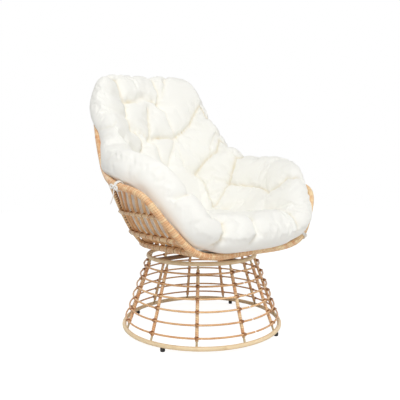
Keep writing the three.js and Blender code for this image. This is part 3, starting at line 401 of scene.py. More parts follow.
@dataclass(frozen=True)
class CanvasFinish:
    """Off-white plain weave, with painted shade: a warmer, darker tint where it is drawn into a crease."""

    name: str
    cloth: tuple[int, int, int]
    # the fold colour is painted shade for the bottoms of the creases
    fold: tuple[int, int, int]
    thread: float = 0.0011
    crease_power: float = 1.7
    rumple_part: float = 0.12
    rumple_scale: float = 26.0
    rumple_height: float = 0.9
    weave_height: float = 0.12
    facing_power: float = 4.0
    slub_scale: tuple[float, float, float] = (160.0, 160.0, 620.0)
    slub_height: float = 0.2
    roughness: float = 0.86
    slub_roughness: float = 0.1

    def build(self) -> bpy.types.Material:
        """Makes the material: two sets of threads on each of the three planes, blended by the normal."""
        surface = Surface(self.name)
        place = surface.place()
        facing = surface.split(surface.value("ShaderNodeNewGeometry", output="Normal"))
        on_x, on_y, on_z = (surface.maths("ABSOLUTE", part) ** self.facing_power for part in facing)
        x, y, z = (surface.maths("SINE", part * (math.pi / self.thread)) for part in surface.split(place))
        weave = y * z * on_x + x * z * on_y + x * y * on_z
        slubs = surface.noise(surface.stretch(place, self.slub_scale), scale=1.0)
        rumple = surface.noise(place, self.rumple_scale, detail=3.0)
        # painted shade: the crease attribute tints the cloth towards the fold colour
        crease = surface.value("ShaderNodeAttribute", {"attribute_name": "crease"}, output="Fac")
        share = crease ** self.crease_power + rumple * self.rumple_part - self.rumple_part / 2
        colour = surface.blend(share, linear(*self.cloth), linear(*self.fold))
        height = weave * self.weave_height + slubs * self.slub_height + rumple * self.rumple_height
        return surface.dress(
            base_color=colour,
            roughness=self.roughness + slubs * self.slub_roughness,
            sheen_weight=0.12,
            sheen_roughness=0.5,
            normal=surface.bump(height, depth=0.0016, strength=0.55),
        )


class Finish(Enum):
    """The chair's finishes."""

    WRAPPED = RattanFinish("rattan_wrapped", (255, 231, 184), (224, 152, 94), strip=0.0075)
    CANE = RattanFinish("rattan_cane", (252, 214, 160), (206, 136, 80))
    BINDING = RattanFinish("rattan_binding", (236, 182, 122), (136, 76, 34), strip=0.0026,
                           groove_share=0.3)
    PAINTED_STEEL = MetalFinish("painted_steel", (246, 222, 182), (230, 202, 158), metallic=0.0,
                                roughness=0.42)
    ROD_STEEL = MetalFinish("rod_steel", (206, 186, 148), (176, 150, 110), metallic=0.15, roughness=0.4)
    DARK_STEEL = MetalFinish("dark_steel", (146, 108, 72), (168, 126, 86), metallic=0.1, roughness=0.45)
    BOLT_STEEL = MetalFinish("bolt_steel", (168, 166, 160), (140, 136, 130), metallic=0.9, roughness=0.34)
    FOOT_PLASTIC = PlasticFinish("foot_plastic", (26, 26, 27), scuffed=(52, 52, 53))
    # each canvas's second colour is painted shade for its creases
    CANVAS = CanvasFinish("canvas", (253, 252, 246), (233, 221, 192))
    CORD = CanvasFinish("tie_cord", (250, 248, 243), (236, 226, 204), thread=0.0006)


class Line:
    """A smooth line that is read by shares of its length."""

    SPAN_STEPS = 24
    TANGENT_REACH = 0.00125

    def __init__(self, samples: np.ndarray) -> None:
        """Measures the sampled line."""
        self.samples = np.asarray(samples, float)
        steps = np.linalg.norm(np.diff(self.samples, axis=0), axis=1)
        travelled = np.concatenate([[0.0], np.cumsum(steps)])
        self.length = float(travelled[-1])
        self.shares = travelled / self.length

    @classmethod
    def through(cls, points: Sequence[Sequence[float]], closed: bool = False, until: float = 1.0) -> "Line":
        """Draws a centripetal line through points.

        Args:
            points: The points.
            closed: Whether it runs back to its first point.
            until: The share of its spans to draw.

        Returns:
            The line.
        """
        places = np.asarray(points, float)
        count = len(places)
        spans = count if closed else count - 1
        samples = []
        steps = spans * cls.SPAN_STEPS
        for step in range(steps + 1):
            place = until * spans * step / steps
            first = min(int(place), spans - 1)
            samples.append(cls._span(places, first, place - first, closed))
        return cls(np.array(samples))

    @staticmethod
    def _span(places: np.ndarray, first: int, share: float, closed: bool) -> np.ndarray:
        """Gives a point between one place and the next."""
        count = len(places)
        p1, p2 = places[first], places[(first + 1) % count]
        p0 = places[(first - 1) % count] if closed or first > 0 else 2 * p1 - p2
        p3 = places[(first + 2) % count] if closed or first + 2 < count else 2 * p2 - p1
        d0, d1, d2 = (max(math.sqrt(float(np.linalg.norm(b - a))), 1e-4)
                      for a, b in ((p0, p1), (p1, p2), (p2, p3)))
        start = ((p1 - p0) / d0 - (p2 - p0) / (d0 + d1) + (p2 - p1) / d1) * d1
        end = ((p2 - p1) / d1 - (p3 - p1) / (d1 + d2) + (p3 - p2) / d2) * d1
        square, cube = share * share, share ** 3
        return (p1 + start * share + (3 * (p2 - p1) - 2 * start - end) * square
                + (2 * (p1 - p2) + start + end) * cube)

    def at(self, share: Any) -> np.ndarray:
        """Gives the points at shares of the length."""
        where = np.clip(share, 0.0, 1.0)
        return np.stack([np.interp(where, self.shares, self.samples[:, i]) for i in range(3)], axis=-1)

    def tangent(self, share: float) -> np.ndarray:
        """Gives the direction at a share of the length."""
        return unit(self.at(share + self.TANGENT_REACH) - self.at(share - self.TANGENT_REACH))

    def mirrored(self, side: int) -> "Line":
        """Gives the line on that side of the chair."""
        return Line(self.samples * (side, 1, 1))

    def part(self, start: float, end: float) -> "Line":
        """Gives the stretch between two shares of the length."""
        inside = self.samples[(self.shares > start) & (self.shares < end)]
        return Line(np.concatenate([[self.at(start)], inside, [self.at(end)]]))


def unit(vector: np.ndarray) -> np.ndarray:
    """Gives a vector's direction."""
    return vector / np.linalg.norm(vector)


@dataclass
class Crossing:
    """Where one cane crosses another: the carrier's centre and direction, and the radii of both."""

    point: np.ndarray
    along: np.ndarray
    inwards: np.ndarray
    carrier: float
    crosser: float


@dataclass
class Hoop:
    """A hoop or band of the seat: its line and its radius."""

    line: Line
    radius: float
    in_lattice: bool = False

    def at_length(self, length: float) -> tuple[np.ndarray, np.ndarray]:
        """Gives the point and direction at a length from the right end."""
        share = length / self.line.length
        return self.line.at(share), self.line.tangent(share)

    def at_width(self, width: float) -> tuple[np.ndarray, np.ndarray]:
        """Gives the point and direction where the right half comes in to a distance from the middle."""
        half = self.line.shares <= 0.5
        samples, shares = self.line.samples[half], self.line.shares[half]
        beyond = (samples[:, 0] > width) | (samples[:, 1] < samples[0, 1] / 2)
        last = int(np.nonzero(beyond)[0][-1])
        if last + 1 >= len(samples):
            return self.line.at(0.5), self.line.tangent(0.5)
        before, after = samples[last, 0], samples[last + 1, 0]
        between = (before - width) / max(before - after, 1e-9)
        share = shares[last] + between * (shares[last + 1] - shares[last])
        return self.line.at(share), self.line.tangent(share)

    def width_at(self, y: float) -> float:
        """Gives the half width at a place from front to back."""
        half = self.line.samples[self.line.shares <= 0.5]
        return float(np.interp(y, half[:, 1], half[:, 0]))


@dataclass
class SeatLines:
    """The seat frame's centre lines, set out as the solids are."""

    rim_radius: float = 11.5
    rim_half_width: float = 427
    rim_front: float = -289
    rim_back: float = 469
    rim_low: float = 333
    rim_high: float = 1027
    rib_radius: float = 5.2
    rib_gap: float = 1.4
    notch: float = 2.4
    post_radius: float = 7.5
    post_inset: float = 6
    side_ribs: int = 7
    back_ribs: int = 7
    cross_radius: float = 6.2
    cross_places: tuple[float, float] = (-124, 110)
    floor_height: float = 342.5
    floor_pairs: int = 3
    band_radius: float = 6.2
    high_band_height: float = 830
    top_joint_height: float = 471
    hoop_corner_steps: int = 6
    hoop_squareness: float = 2.3
    rim_front_until: float = 0.2
    rim_back_from: float = 0.4
    rib_tail: float = 5
    side_starts: tuple[float, ...] = (100, 89, 39)
    side_pitches: tuple[float, ...] = (44, 44, 43.3)
    side_rim_start: float = 38
    side_rim_pitch: float = 28.8
    post_places: tuple[float, ...] = (440, 402, 352)
    post_rim_place: float = 313
    back_pitches: tuple[float, ...] = (22, 33, 40, 43, 44)
    back_rim_pitch: float = 45
    rim_shares: tuple[tuple[float, float, float], ...] = (
        (0.000, 0.015, 0.000), (0.578, 0.000, 0.030), (0.800, 0.030, 0.160), (0.946, 0.092, 0.295),
        (1.000, 0.274, 0.350), (0.900, 0.467, 0.399), (0.787, 0.637, 0.481), (0.714, 0.766, 0.635),
        (0.630, 0.875, 0.785), (0.510, 0.942, 0.925), (0.363, 0.978, 0.976), (0.187, 0.996, 0.996),
        (0.000, 1.000, 1.000),
    )
    band_shares: tuple[tuple[float, float], ...] = ((1, 0), (0.86, 0.4), (0.62, 0.74), (0.32, 0.94), (0, 1))
    crossings: list[Crossing] = field(default_factory=list)

    def __post_init__(self) -> None:
        """Draws every line."""
        spread = np.array([self.rim_half_width, self.rim_back - self.rim_front, self.rim_high - self.rim_low])
        corner = np.array([0, self.rim_front, self.rim_low])
        right = corner + np.array(self.rim_shares) * spread
        loop = np.concatenate([right, right[-2:0:-1] * (-1, 1, 1)])
        self.rim = Line.through(loop, closed=True, until=0.5)
        self.low = self._hoop(radius=10, rim_height=350, half_width=230, bend=-60, back=262, back_height=327)
        self.middle = self._hoop(radius=7.5, rim_height=390, half_width=291, bend=-35, back=243,
                                 back_height=389)
        self.top = self._hoop(radius=6.2, rim_height=self.top_joint_height, half_width=349, bend=-60,
                              back=238, back_height=471)
        self.low_band = self._band(height=640, bow=168)
        self.high_band = self._band(height=self.high_band_height, bow=50)
        self.top_joint = self.share_at_height(self.top_joint_height)
        self.side = [self._side_rib(i) for i in range(self.side_ribs)]
        self.post = self._post()
        self.feet: list[float] = []
        self.back = [self._back_rib(i) for i in range(self.back_ribs + 1)]
        self.floor = self._floor()

    def share_at_height(self, height: float) -> float:
        """Gives where the rim reaches a height, as a share of its half."""
        return float(np.interp(height, np.maximum.accumulate(self.rim.samples[:, 2]), self.rim.shares))

    def share_at_width(self, width: float) -> float:
        """Gives where the rim's back part comes in to a distance from the middle."""
        later = self.rim.shares >= self.rim_back_from
        return float(np.interp(-width, -self.rim.samples[later, 0], self.rim.shares[later]))

    def _hoop(self, radius: float, rim_height: float, half_width: float, bend: float, back: float,
              back_height: float) -> Hoop:
        """Draws a hoop from rim to rim round the back of the seat."""
        start = self.rim.at(self.share_at_height(rim_height))

        def place(x: float, y: float) -> list[float]:
            """Puts a point on the hoop's slope."""
            return [x, y, start[2] + (back_height - start[2]) * (y - start[1]) / (back - start[1])]

        middle = (start[1] + bend) / 2
        right = [list(start), place(half_width + (start[0] - half_width) / 4, middle)]
        power = 2 / self.hoop_squareness
        for i in range(self.hoop_corner_steps):
            angle = i / self.hoop_corner_steps * math.pi / 2
            right.append(place(half_width * math.cos(angle) ** power,
                               bend + (back - bend) * math.sin(angle) ** power))
        left = [[-x, y, z] for x, y, z in reversed(right)]
        return Hoop(Line.through([*right, [0, back, back_height], *left]), radius)

    def _band(self, height: float, bow: float) -> Hoop:
        """Draws a band across the back from rim to rim."""
        start = self.rim.at(self.share_at_height(height))
        right = [[start[0] * across, start[1] + bow * behind, height]
                 for across, behind in self.band_shares]
        left = [[-x, y, z] for x, y, z in reversed(right[:-1])]
        return Hoop(Line.through([*right, *left]), self.band_radius, in_lattice=True)

    def _inside(self, hoops: Sequence[Hoop], places: Sequence[tuple[np.ndarray, np.ndarray]],
                rim_end: np.ndarray, radius: float, inset: Optional[float] = None,
                both: bool = True) -> list[np.ndarray]:
        """Moves the places where a cane crosses the hoops to their inner side, and notes the crossings."""
        route = [*(point for point, _ in places), rim_end]
        moved = []
        for i, (hoop, (point, tangent)) in enumerate(zip(hoops, places)):
            along = route[i + 1] - route[max(i - 1, 0)]
            inwards = unit(np.cross(tangent, along))
            if inwards[0] * point[0] + inwards[1] * point[1] > 0:
                inwards = -inwards
            stand = hoop.radius + radius + (-self.notch if hoop.in_lattice else self.rib_gap)
            moved.append(point + inwards * (stand if inset is None else inset))
            for side in ((1, -1) if both else (1,)):
                flip = (side, 1, 1)
                self.crossings.append(Crossing(point * flip, tangent * flip, inwards * flip,
                                               hoop.radius, radius))
        return moved

    def _rib_line(self, inside: Sequence[np.ndarray], rim_end: np.ndarray) -> Line:
        """Draws a rib with a short tail below its lowest crossing."""
        tail = inside[0] + unit(inside[0] - inside[1]) * self.rib_tail
        return Line.through([tail, *inside, rim_end])

    def _side_rib(self, i: int) -> Line:
        """Draws a side rib on the right."""
        hoops = (self.low, self.middle, self.top)
        places = [hoop.at_length(start + i * pitch)
                  for hoop, start, pitch in zip(hoops, self.side_starts, self.side_pitches)]
        rim_place = self.side_rim_start + i * self.side_rim_pitch
        rim_end = self.rim.at(self.top_joint + rim_place / self.rim.length)
        return self._rib_line(self._inside(hoops, places, rim_end, self.rib_radius), rim_end)

    def _post(self) -> Line:
        """Draws the rear corner post on the right."""
        hoops = (self.low, self.middle, self.top)
        places = [hoop.at_length(length) for hoop, length in zip(hoops, self.post_places)]
        rim_end = self.rim.at(self.top_joint + self.post_rim_place / self.rim.length)
        moved = self._inside(hoops, places, rim_end, self.post_radius, self.post_inset)
        return Line.through([places[0][0], *moved[1:], rim_end])

    def _back_rib(self, out: int) -> Line:
        """Draws a back rib on the right, or the middle one."""
        rim_end = self.rim.at(self.share_at_width(out * self.back_rim_pitch))
        hoops = [self.low, self.middle, self.top, self.low_band]
        if rim_end[2] > self.high_band_height:
            hoops.append(self.high_band)
        places = [hoop.at_width(out * pitch) for hoop, pitch in zip(hoops, self.back_pitches)]
        inside = self._inside(hoops, places, rim_end, self.rib_radius, both=out > 0)
        share = (self.floor_height - inside[0][2]) / (inside[1][2] - inside[0][2])
        self.feet.append(float((inside[0] + (inside[1] - inside[0]) * share)[0]))
        return self._rib_line(inside, rim_end)

    def _floor(self) -> list[tuple[Line, float]]:
        """Draws the floor's canes and the two cross canes over them."""
        canes = []
        front_rim = self.rim.samples[self.rim.shares < self.rim_front_until]
        for i in range(self.floor_pairs):
            x = (self.feet[2 * i + 1] + self.feet[2 * i + 2]) / 2
            front = float(np.interp(x, front_rim[:, 0], front_rim[:, 1])) + self.rim_radius
            back = self.low.at_width(x)[0][1] - self.low.radius
            for side in (1, -1):
                ends = [[side * x, front, self.floor_height], [side * x, back, self.floor_height]]
                canes.append((Line(np.array(ends)), self.rib_radius))
        height = self.floor_height + self.rib_radius + self.cross_radius - self.notch
        for y in self.cross_places:
            end = self.low.width_at(y)
            canes.append((Line(np.array([[-end, y, height], [end, y, height]])), self.cross_radius))
        return canes


def poly_curve(name: str, splines: Iterable[tuple[np.ndarray, float]]) -> bpy.types.Curve:
    """Makes a curve of straight spans.

    Args:
        name: Its name.
        splines: Each spline's points in the frame, and the radius given to them.

    Returns:
        The curve.
    """
    curve = bpy.data.curves.new(name, "CURVE")
    curve.dimensions = "3D"
    for places, radius in splines:
        spline = curve.splines.new("POLY")
        spline.points.add(len(places) - 1)
        spline.points.foreach_set("co", np.column_stack([places, np.ones(len(places))]).ravel())
        spline.points.foreach_set("radius", np.full(len(places), radius))
    return curve


def marked_points(name: str, places: Iterable[Sequence[float]], **vectors: np.ndarray) -> bpy.types.Mesh:
    """Makes a mesh of loose points that carry vectors.

    Args:
        name: Its name.
        places: The points in the frame.
        vectors: A vector for each point, by the attribute's name.

    Returns:
        The mesh.
    """
    mesh = bpy.data.meshes.new(name)
    mesh.from_pydata([tuple(place) for place in places], [], [])
    for title, values in vectors.items():
        attribute = mesh.attributes.new(title, "FLOAT_VECTOR", "POINT")
        attribute.data.foreach_set("vector", values.ravel())
    return mesh


class Growth(Nodes):
    """A Geometry Nodes tree with named inputs, the last of them its material."""

    def __init__(self, name: str, inputs: Sequence[tuple[str, str, Any]]) -> None:
        """Makes the tree.

        Args:
            name: The tree's name.
            inputs: Each input's name, socket type and default value.
        """
        super().__init__(bpy.data.node_groups.new(name, "GeometryNodeTree"))
        face = self.tree.interface
        face.new_socket("Geometry", in_out="INPUT", socket_type="NodeSocketGeometry")
        self.keys: dict[str, str] = {}
        for title, kind, default in (*inputs, ("Material", "NodeSocketMaterial", None)):
            socket = face.new_socket(title, in_out="INPUT", socket_type=kind)
            if default is not None:
                socket.default_value = default
            self.keys[title] = socket.identifier
        face.new_socket("Geometry", in_out="OUTPUT", socket_type="NodeSocketGeometry")
        self.entry = self.tree.nodes.new("NodeGroupInput")
        self.exit = self.tree.nodes.new("NodeGroupOutput")

    def given(self, name: str) -> Value:
        """Gives one of the tree's inputs."""
        return Value(self, self.entry.outputs[name])

    def capture(self, geometry: Value, **fields: Value) -> tuple[Value, dict[str, Value]]:
        """Captures number fields on points.

        Args:
            geometry: What they are captured on.
            fields: The fields by name.

        Returns:
            The geometry and the captured fields.
        """
        node = self.tree.nodes.new("GeometryNodeCaptureAttribute")
        for name in fields:
            node.capture_items.new("FLOAT", name)
        self.tree.links.new(geometry.socket, node.inputs[0])
        for i, item in enumerate(fields.values()):
            self.tree.links.new(item.socket, node.inputs[i + 1])
        captured = {name: Value(self, node.outputs[i + 1]) for i, name in enumerate(fields)}
        return Value(self, node.outputs[0]), captured

    def named(self, name: str) -> Value:
        """Reads a vector attribute of the points."""
        return self.value("GeometryNodeInputNamedAttribute", {"data_type": "FLOAT_VECTOR"}, {"Name": name})

    def factor(self) -> Value:
        """Gives the share of the length along a curve."""
        return self.value("GeometryNodeSplineParameter", output="Factor")

    def tube(self, spine: Value, scale: Value) -> tuple[Value, Value]:
        """Sweeps a circle of the tree's number of sides along a curve.

        Args:
            spine: The curve.
            scale: The tube's radius along it.

        Returns:
            The tube, and the share of the way round it.
        """
        spine = self.value("GeometryNodeSetCurveRadius", None, {"Curve": spine, "Radius": 1.0})
        profile = self.value("GeometryNodeCurveArc", {"mode": "RADIUS"}, {
            "Resolution": self.given("Sides") + 1.0,
            "Radius": 1.0,
            "Sweep Angle": 2 * math.pi,
        })
        profile, held = self.capture(profile, around=self.factor())
        tube = self.value("GeometryNodeCurveToMesh", None,
                          {"Curve": spine, "Profile Curve": profile, "Scale": scale})
        return tube, held["around"]

    def mapped(self, tube: Value, around: Value, along: Value, weld: float) -> Value:
        """Stores a tube's UV map and welds its seam."""
        uv = self.value("ShaderNodeCombineXYZ", None, {0: around, 1: along})
        tube = self.value("GeometryNodeStoreNamedAttribute", {"data_type": "FLOAT2", "domain": "CORNER"},
                          {"Geometry": tube, "Name": "UVMap", "Value": uv})
        return self.value("GeometryNodeMergeByDistance", None, {"Geometry": tube, "Distance": weld})

    def on_points(self, part: Value, **more: Value) -> Value:
        """Sets a part on each of the tree's points, turned by their own attribute."""
        turned = self.value("FunctionNodeEulerToRotation", None, {0: self.named("turned")})
        return self.value("GeometryNodeInstanceOnPoints", None,
                          {"Points": self.given("Geometry"), "Instance": part, "Rotation": turned, **more})

    def end(self, geometry: Value, smooth: bool = True) -> None:
        """Ends the tree in its shading, real instances and its material."""
        if smooth:
            geometry = self.value("GeometryNodeSetShadeSmooth", None, {"Geometry": geometry})
        real = self.value("GeometryNodeRealizeInstances", None, {"Geometry": geometry})
        dressed = self.value("GeometryNodeSetMaterial", None,
                             {"Geometry": real, "Material": self.given("Material")})
        self.tree.links.new(dressed.socket, self.exit.inputs[0])

    def grow(self, name: str, seed_data: Union[bpy.types.Mesh, bpy.types.Curve],
             material: bpy.types.Material, **inputs: Any) -> bpy.types.Object:
        """Runs the tree on a mesh or curve and keeps the result as a plain mesh.

        Args:
            name: The new piece's name.
            seed_data: What the tree starts from.
            material: The piece's finish.
            inputs: The tree's other inputs, with underscores for spaces.

        Returns:
            The piece.
        """
        seedling = put(f"{name}_seed", seed_data)
        modifier = seedling.modifiers.new("growth", "NODES")
        modifier.node_group = self.tree
        for title, value in {"Material": material, **inputs}.items():
            modifier[self.keys[title.replace("_", " ")]] = value
        seedling.update_tag()
        graph = bpy.context.evaluated_depsgraph_get()
        graph.update()
        mesh = bpy.data.meshes.new_from_object(seedling.evaluated_get(graph), depsgraph=graph)
        mesh.name = name
        bpy.data.objects.remove(seedling)
        return put(name, mesh)


class CaneTree(Growth):
    """Sweeps canes along curves: grown swellings, a groove between wrapped strips, and a UV map."""

    KNOT_WIDTH = 0.004
    CLOSED_END = 0.9999
    GROOVE_POWER = 8.0
    WELD = 0.00002
    SAMPLE_STEP = 6

    def __init__(self) -> None:
        """Builds the tree."""
        super().__init__("cane", (
            ("Sides", "NodeSocketInt", 12),
            ("Step", "NodeSocketFloat", 0.004),
            ("Strip", "NodeSocketFloat", 0.0072),
            ("Groove", "NodeSocketFloat", 0.0),
            ("Knot Spacing", "NodeSocketFloat", 0.21),
            ("Knot Height", "NodeSocketFloat", 0.0),
            ("Seed", "NodeSocketInt", 1),
        ))
        curve = self.value("GeometryNodeResampleCurve", {"mode": "LENGTH"},
                           {"Curve": self.given("Geometry"), "Length": self.given("Step")})
        cane_number = self.value("GeometryNodeCurveOfPoint", output="Curve Index")
        tone = self.value("FunctionNodeRandomValue", {"data_type": "FLOAT"},
                          {"Min_001": 0.0, "Max_001": 1.0, "ID": cane_number, "Seed": self.given("Seed")}, 1)
        curve, held = self.capture(curve, along=self.value("GeometryNodeSplineParameter", output="Length"),
                                   tone=tone, radius=self.value("GeometryNodeInputRadius"))
        past = self.maths("FRACT", held["along"] / self.given("Knot Spacing") + held["tone"])
        beside = (past - 0.5) * self.given("Knot Spacing") / self.KNOT_WIDTH
        ring = self.maths("EXPONENT", beside ** 2.0 * -1.0)
        ends = self.value("GeometryNodeCurveEndpointSelection", None, {"Start Size": 1, "End Size": 1})
        size = (held["radius"] + ring * self.given("Knot Height")) * (1.0 - ends * self.CLOSED_END)
        tube, around = self.tube(curve, size)
        turn = self.maths("FRACT", held["along"] / self.given("Strip") + around)
        edge = (self.maths("ABSOLUTE", turn - 0.5) * 2.0) ** self.GROOVE_POWER
        sink = edge * self.given("Groove") * -1.0
        normal = self.value("GeometryNodeInputNormal")
        offset = self.value("ShaderNodeVectorMath", {"operation": "SCALE"}, {0: normal, "Scale": sink})
        tube = self.value("GeometryNodeSetPosition", None, {"Geometry": tube, "Offset": offset})
        tube = self.value("GeometryNodeStoreNamedAttribute", {"data_type": "FLOAT", "domain": "POINT"},
                          {"Geometry": tube, "Name": "tone", "Value": held["tone"]})
        self.end(self.mapped(tube, around, held["along"], self.WELD))

    def sweep(self, name: str, lines: Sequence[Line], radius: Union[float, Sequence[float]],
              material: bpy.types.Material, **inputs: Any) -> bpy.types.Object:
        """Makes one piece of the canes along some lines.

        Args:
            name: The piece's name.
            lines: The lines in millimetres about the swivel's axis.
            radius: The canes' radius in millimetres, or each cane's own.
            material: Their finish.
            inputs: Other inputs of the tree.

        Returns:
            The piece.
        """
        places = [to_frame(line.at(np.linspace(0, 1, max(2, int(line.length / self.SAMPLE_STEP)))))
                  for line in lines]
        radii = np.broadcast_to(radius, len(lines)) * MM
        return self.grow(name, poly_curve(f"{name}_lines", zip(places, radii)), material, **inputs)


class BindingTree(Growth):
    """Sets a small wrapped sleeve on each point, turned and sized by the points' own attributes."""

    BULGE_POWER = 3.0
    TAPER = 0.97
    WRAPPED_LENGTH = 0.014
    WELD = 0.002

    def __init__(self) -> None:
        """Builds the tree."""
        super().__init__("binding", (
            ("Sides", "NodeSocketInt", 10),
            ("Rows", "NodeSocketInt", 7),
        ))
        spine = self.value("GeometryNodeCurvePrimitiveLine", None,
                           {"Start": (0.0, 0.0, -0.5), "End": (0.0, 0.0, 0.5)})
        spine = self.value("GeometryNodeResampleCurve", {"mode": "COUNT"},
                           {"Curve": spine, "Count": self.given("Rows")})
        spine, held = self.capture(spine, along=self.factor())
        ends = (self.maths("ABSOLUTE", held["along"] - 0.5) * 2.0) ** self.BULGE_POWER
        sleeve, around = self.tube(spine, 1.0 - ends * self.TAPER)
        sleeve = self.mapped(sleeve, around, held["along"] * self.WRAPPED_LENGTH, self.WELD)
        self.end(self.on_points(sleeve, Scale=self.named("size")))

    def bind(self, name: str, sleeves: Sequence[tuple[np.ndarray, Matrix, Sequence[float]]],
             material: bpy.types.Material) -> bpy.types.Object:
        """Makes one piece of all the sleeves.

        Args:
            name: The piece's name.
            sleeves: Each sleeve's centre, its turn as a matrix, and its half width, half depth and length.
            material: Their finish.

        Returns:
            The piece.
        """
        centres, turns, sizes = zip(*sleeves)
        points = marked_points(f"{name}_points", to_frame(centres),
                               turned=np.array([tuple(turn.to_euler()) for turn in turns]),
                               size=np.array(sizes, float) * MM)
        return self.grow(name, points, material)


class BoltTree(Growth):
    """Sets a bolt on each point: a hexagon head on a washer, a shank, and a nut on the plate's far side."""

    HEXAGON = 6
    WASHER_SIDES = 24
    SHANK_SIDES = 16
    CHAMFERED_HEAD = 0.86
    CHAMFERED_NUT = 0.9
    WASHER_WIDTH = 1.16
    SHANK_PAST = 2.4
    STEP_ROUND = 0.4

    def __init__(self) -> None:
        """Builds the tree."""
        super().__init__("bolt", (
            ("Shank Radius", "NodeSocketFloat", 0.0036),
            ("Head Width", "NodeSocketFloat", 0.0062),
            ("Head Height", "NodeSocketFloat", 0.0036),
            ("Nut Height", "NodeSocketFloat", 0.0026),
            ("Washer", "NodeSocketFloat", 0.0008),
            ("Plate", "NodeSocketFloat", 0.003),
        ))
        plate, washer = self.given("Plate"), self.given("Washer")
        head, nut, width = self.given("Head Height"), self.given("Nut Height"), self.given("Head Width")
        shank, wide = self.given("Shank Radius"), width * self.WASHER_WIDTH
        turned = [
            self._turned(self.HEXAGON, width, head, plate / 2.0 + washer + head / 2.0,
                         width * self.CHAMFERED_HEAD),
            self._turned(self.WASHER_SIDES, wide, washer, plate / 2.0 + washer / 2.0, wide),
            self._turned(self.SHANK_SIDES, shank, plate + nut * self.SHANK_PAST,
                         nut * (self.SHANK_PAST / 2) * -1.0, shank),
            self._turned(self.HEXAGON, width, nut, (plate / 2.0 + nut / 2.0) * -1.0,
                         width * self.CHAMFERED_NUT),
        ]
        bolt = self.tree.nodes.new("GeometryNodeJoinGeometry")
        for part in turned:
            self.tree.links.new(part.socket, bolt.inputs[0])
        self.end(self.on_points(Value(self, bolt.outputs[0])), smooth=False)

    def _turned(self, sides: int, radius: Term, height: Term, above: Term, top: Term) -> Value:
        """Makes one straight or chamfered part of the bolt at a height over the plate's middle."""
        part = self.value("GeometryNodeMeshCone", {"fill_type": "NGON"}, {
            "Vertices": sides,
            "Radius Top": top,
            "Radius Bottom": radius,
            "Depth": height,
        })
        lift = self.value("ShaderNodeCombineXYZ", None, {2: above - height / 2.0})
        return self.value("GeometryNodeTransform", None, {"Geometry": part, "Translation": lift})

    def fasten(self, name: str, places: Sequence[Sequence[float]], material: bpy.types.Material,
               over: bool) -> bpy.types.Object:
        """Makes one piece of the bolts through a plate.

        Args:
            name: The piece's name.
            places: The middle of the plate at each bolt, in the frame.
            material: Their finish.
            over: Whether their heads are on top of the plate.

        Returns:
            The piece.
        """
        tips = [(0.0 if over else math.pi, 0.0, self.STEP_ROUND * i) for i in range(len(places))]
        return self.grow(name, marked_points(f"{name}_points", places, turned=np.array(tips)), material)


def axes_matrix(x: np.ndarray, y: np.ndarray, z: np.ndarray) -> Matrix:
    """Makes a turn from the directions that its three axes take."""
    return Matrix(np.column_stack([unit(x), unit(y), unit(z)]).tolist())


class Yard:
    """What the sub-assemblies share: the finishes and the trees."""

    def __init__(self) -> None:
        """Builds the finishes and the trees."""
        self.finishes = {finish: finish.value.build() for finish in Finish}
        self.canes = CaneTree()
        self.bindings = BindingTree()
        self.bolts = BoltTree()

    def fit(self, piece: bpy.types.Object, body: str, slot: str, *nodes: str) -> bpy.types.Object:
        """Lets a piece ride on a body and stand for nodes, and reports it."""
        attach(piece, body)
        if nodes:
            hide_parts(*nodes)
        log.info("%s on %s for %s", piece.name, body, ", ".join(nodes) or "nothing")
        return piece

    def cane(self, body: str, node: str, ending: str, lines: Sequence[Line],
             radius: Union[float, Sequence[float]], finish: Finish, **inputs: Any) -> None:
        """Sweeps canes as one rattan piece that stands for a node.

        Args:
            body: The body that it rides on.
            node: The node that it stands for.
            ending: What its own name has after the node's.
            lines: The canes' lines.
            radius: The canes' radius in millimetres, or each cane's own.
            finish: Their finish.
            inputs: Other inputs of the cane tree.
        """
        piece = self.canes.sweep(f"{node}_{ending}", lines, radius, self.finishes[finish], **inputs)
        self.fit(piece, body, "rattan", node)


@dataclass
class View:
    """The photograph's camera."""

    place: tuple[float, float, float] = (-1091.4, -1354.7, 601.9)
    azimuth: float = -38.68
    pitch: float = 3.21
    roll: float = -0.21
    lens: float = 39.14
    sensor: float = 36

    def build(self) -> None:
        """Makes the camera and hands it to the scene."""
        turn, down, tip = (math.radians(a) for a in (self.azimuth, self.pitch, self.roll))
        right = Vector((math.cos(turn), math.sin(turn), 0))
        level = Vector((-math.sin(turn), math.cos(turn), 0))
        forward = level * math.cos(down) - Vector((0, 0, math.sin(down)))
        up = right.cross(forward)
        axes = Matrix((right, up, -forward)).transposed()
        axes = axes @ Matrix.Rotation(tip, 3, "Z")
        data = bpy.data.cameras.new("photo_camera")
        data.lens = self.lens
        data.sensor_width = self.sensor
        data.sensor_fit = "HORIZONTAL"
        camera = put("photo_camera", data)
        camera.matrix_world = Matrix.Translation(to_frame(self.place)) @ axes.to_4x4()
        bpy.context.scene.camera = camera


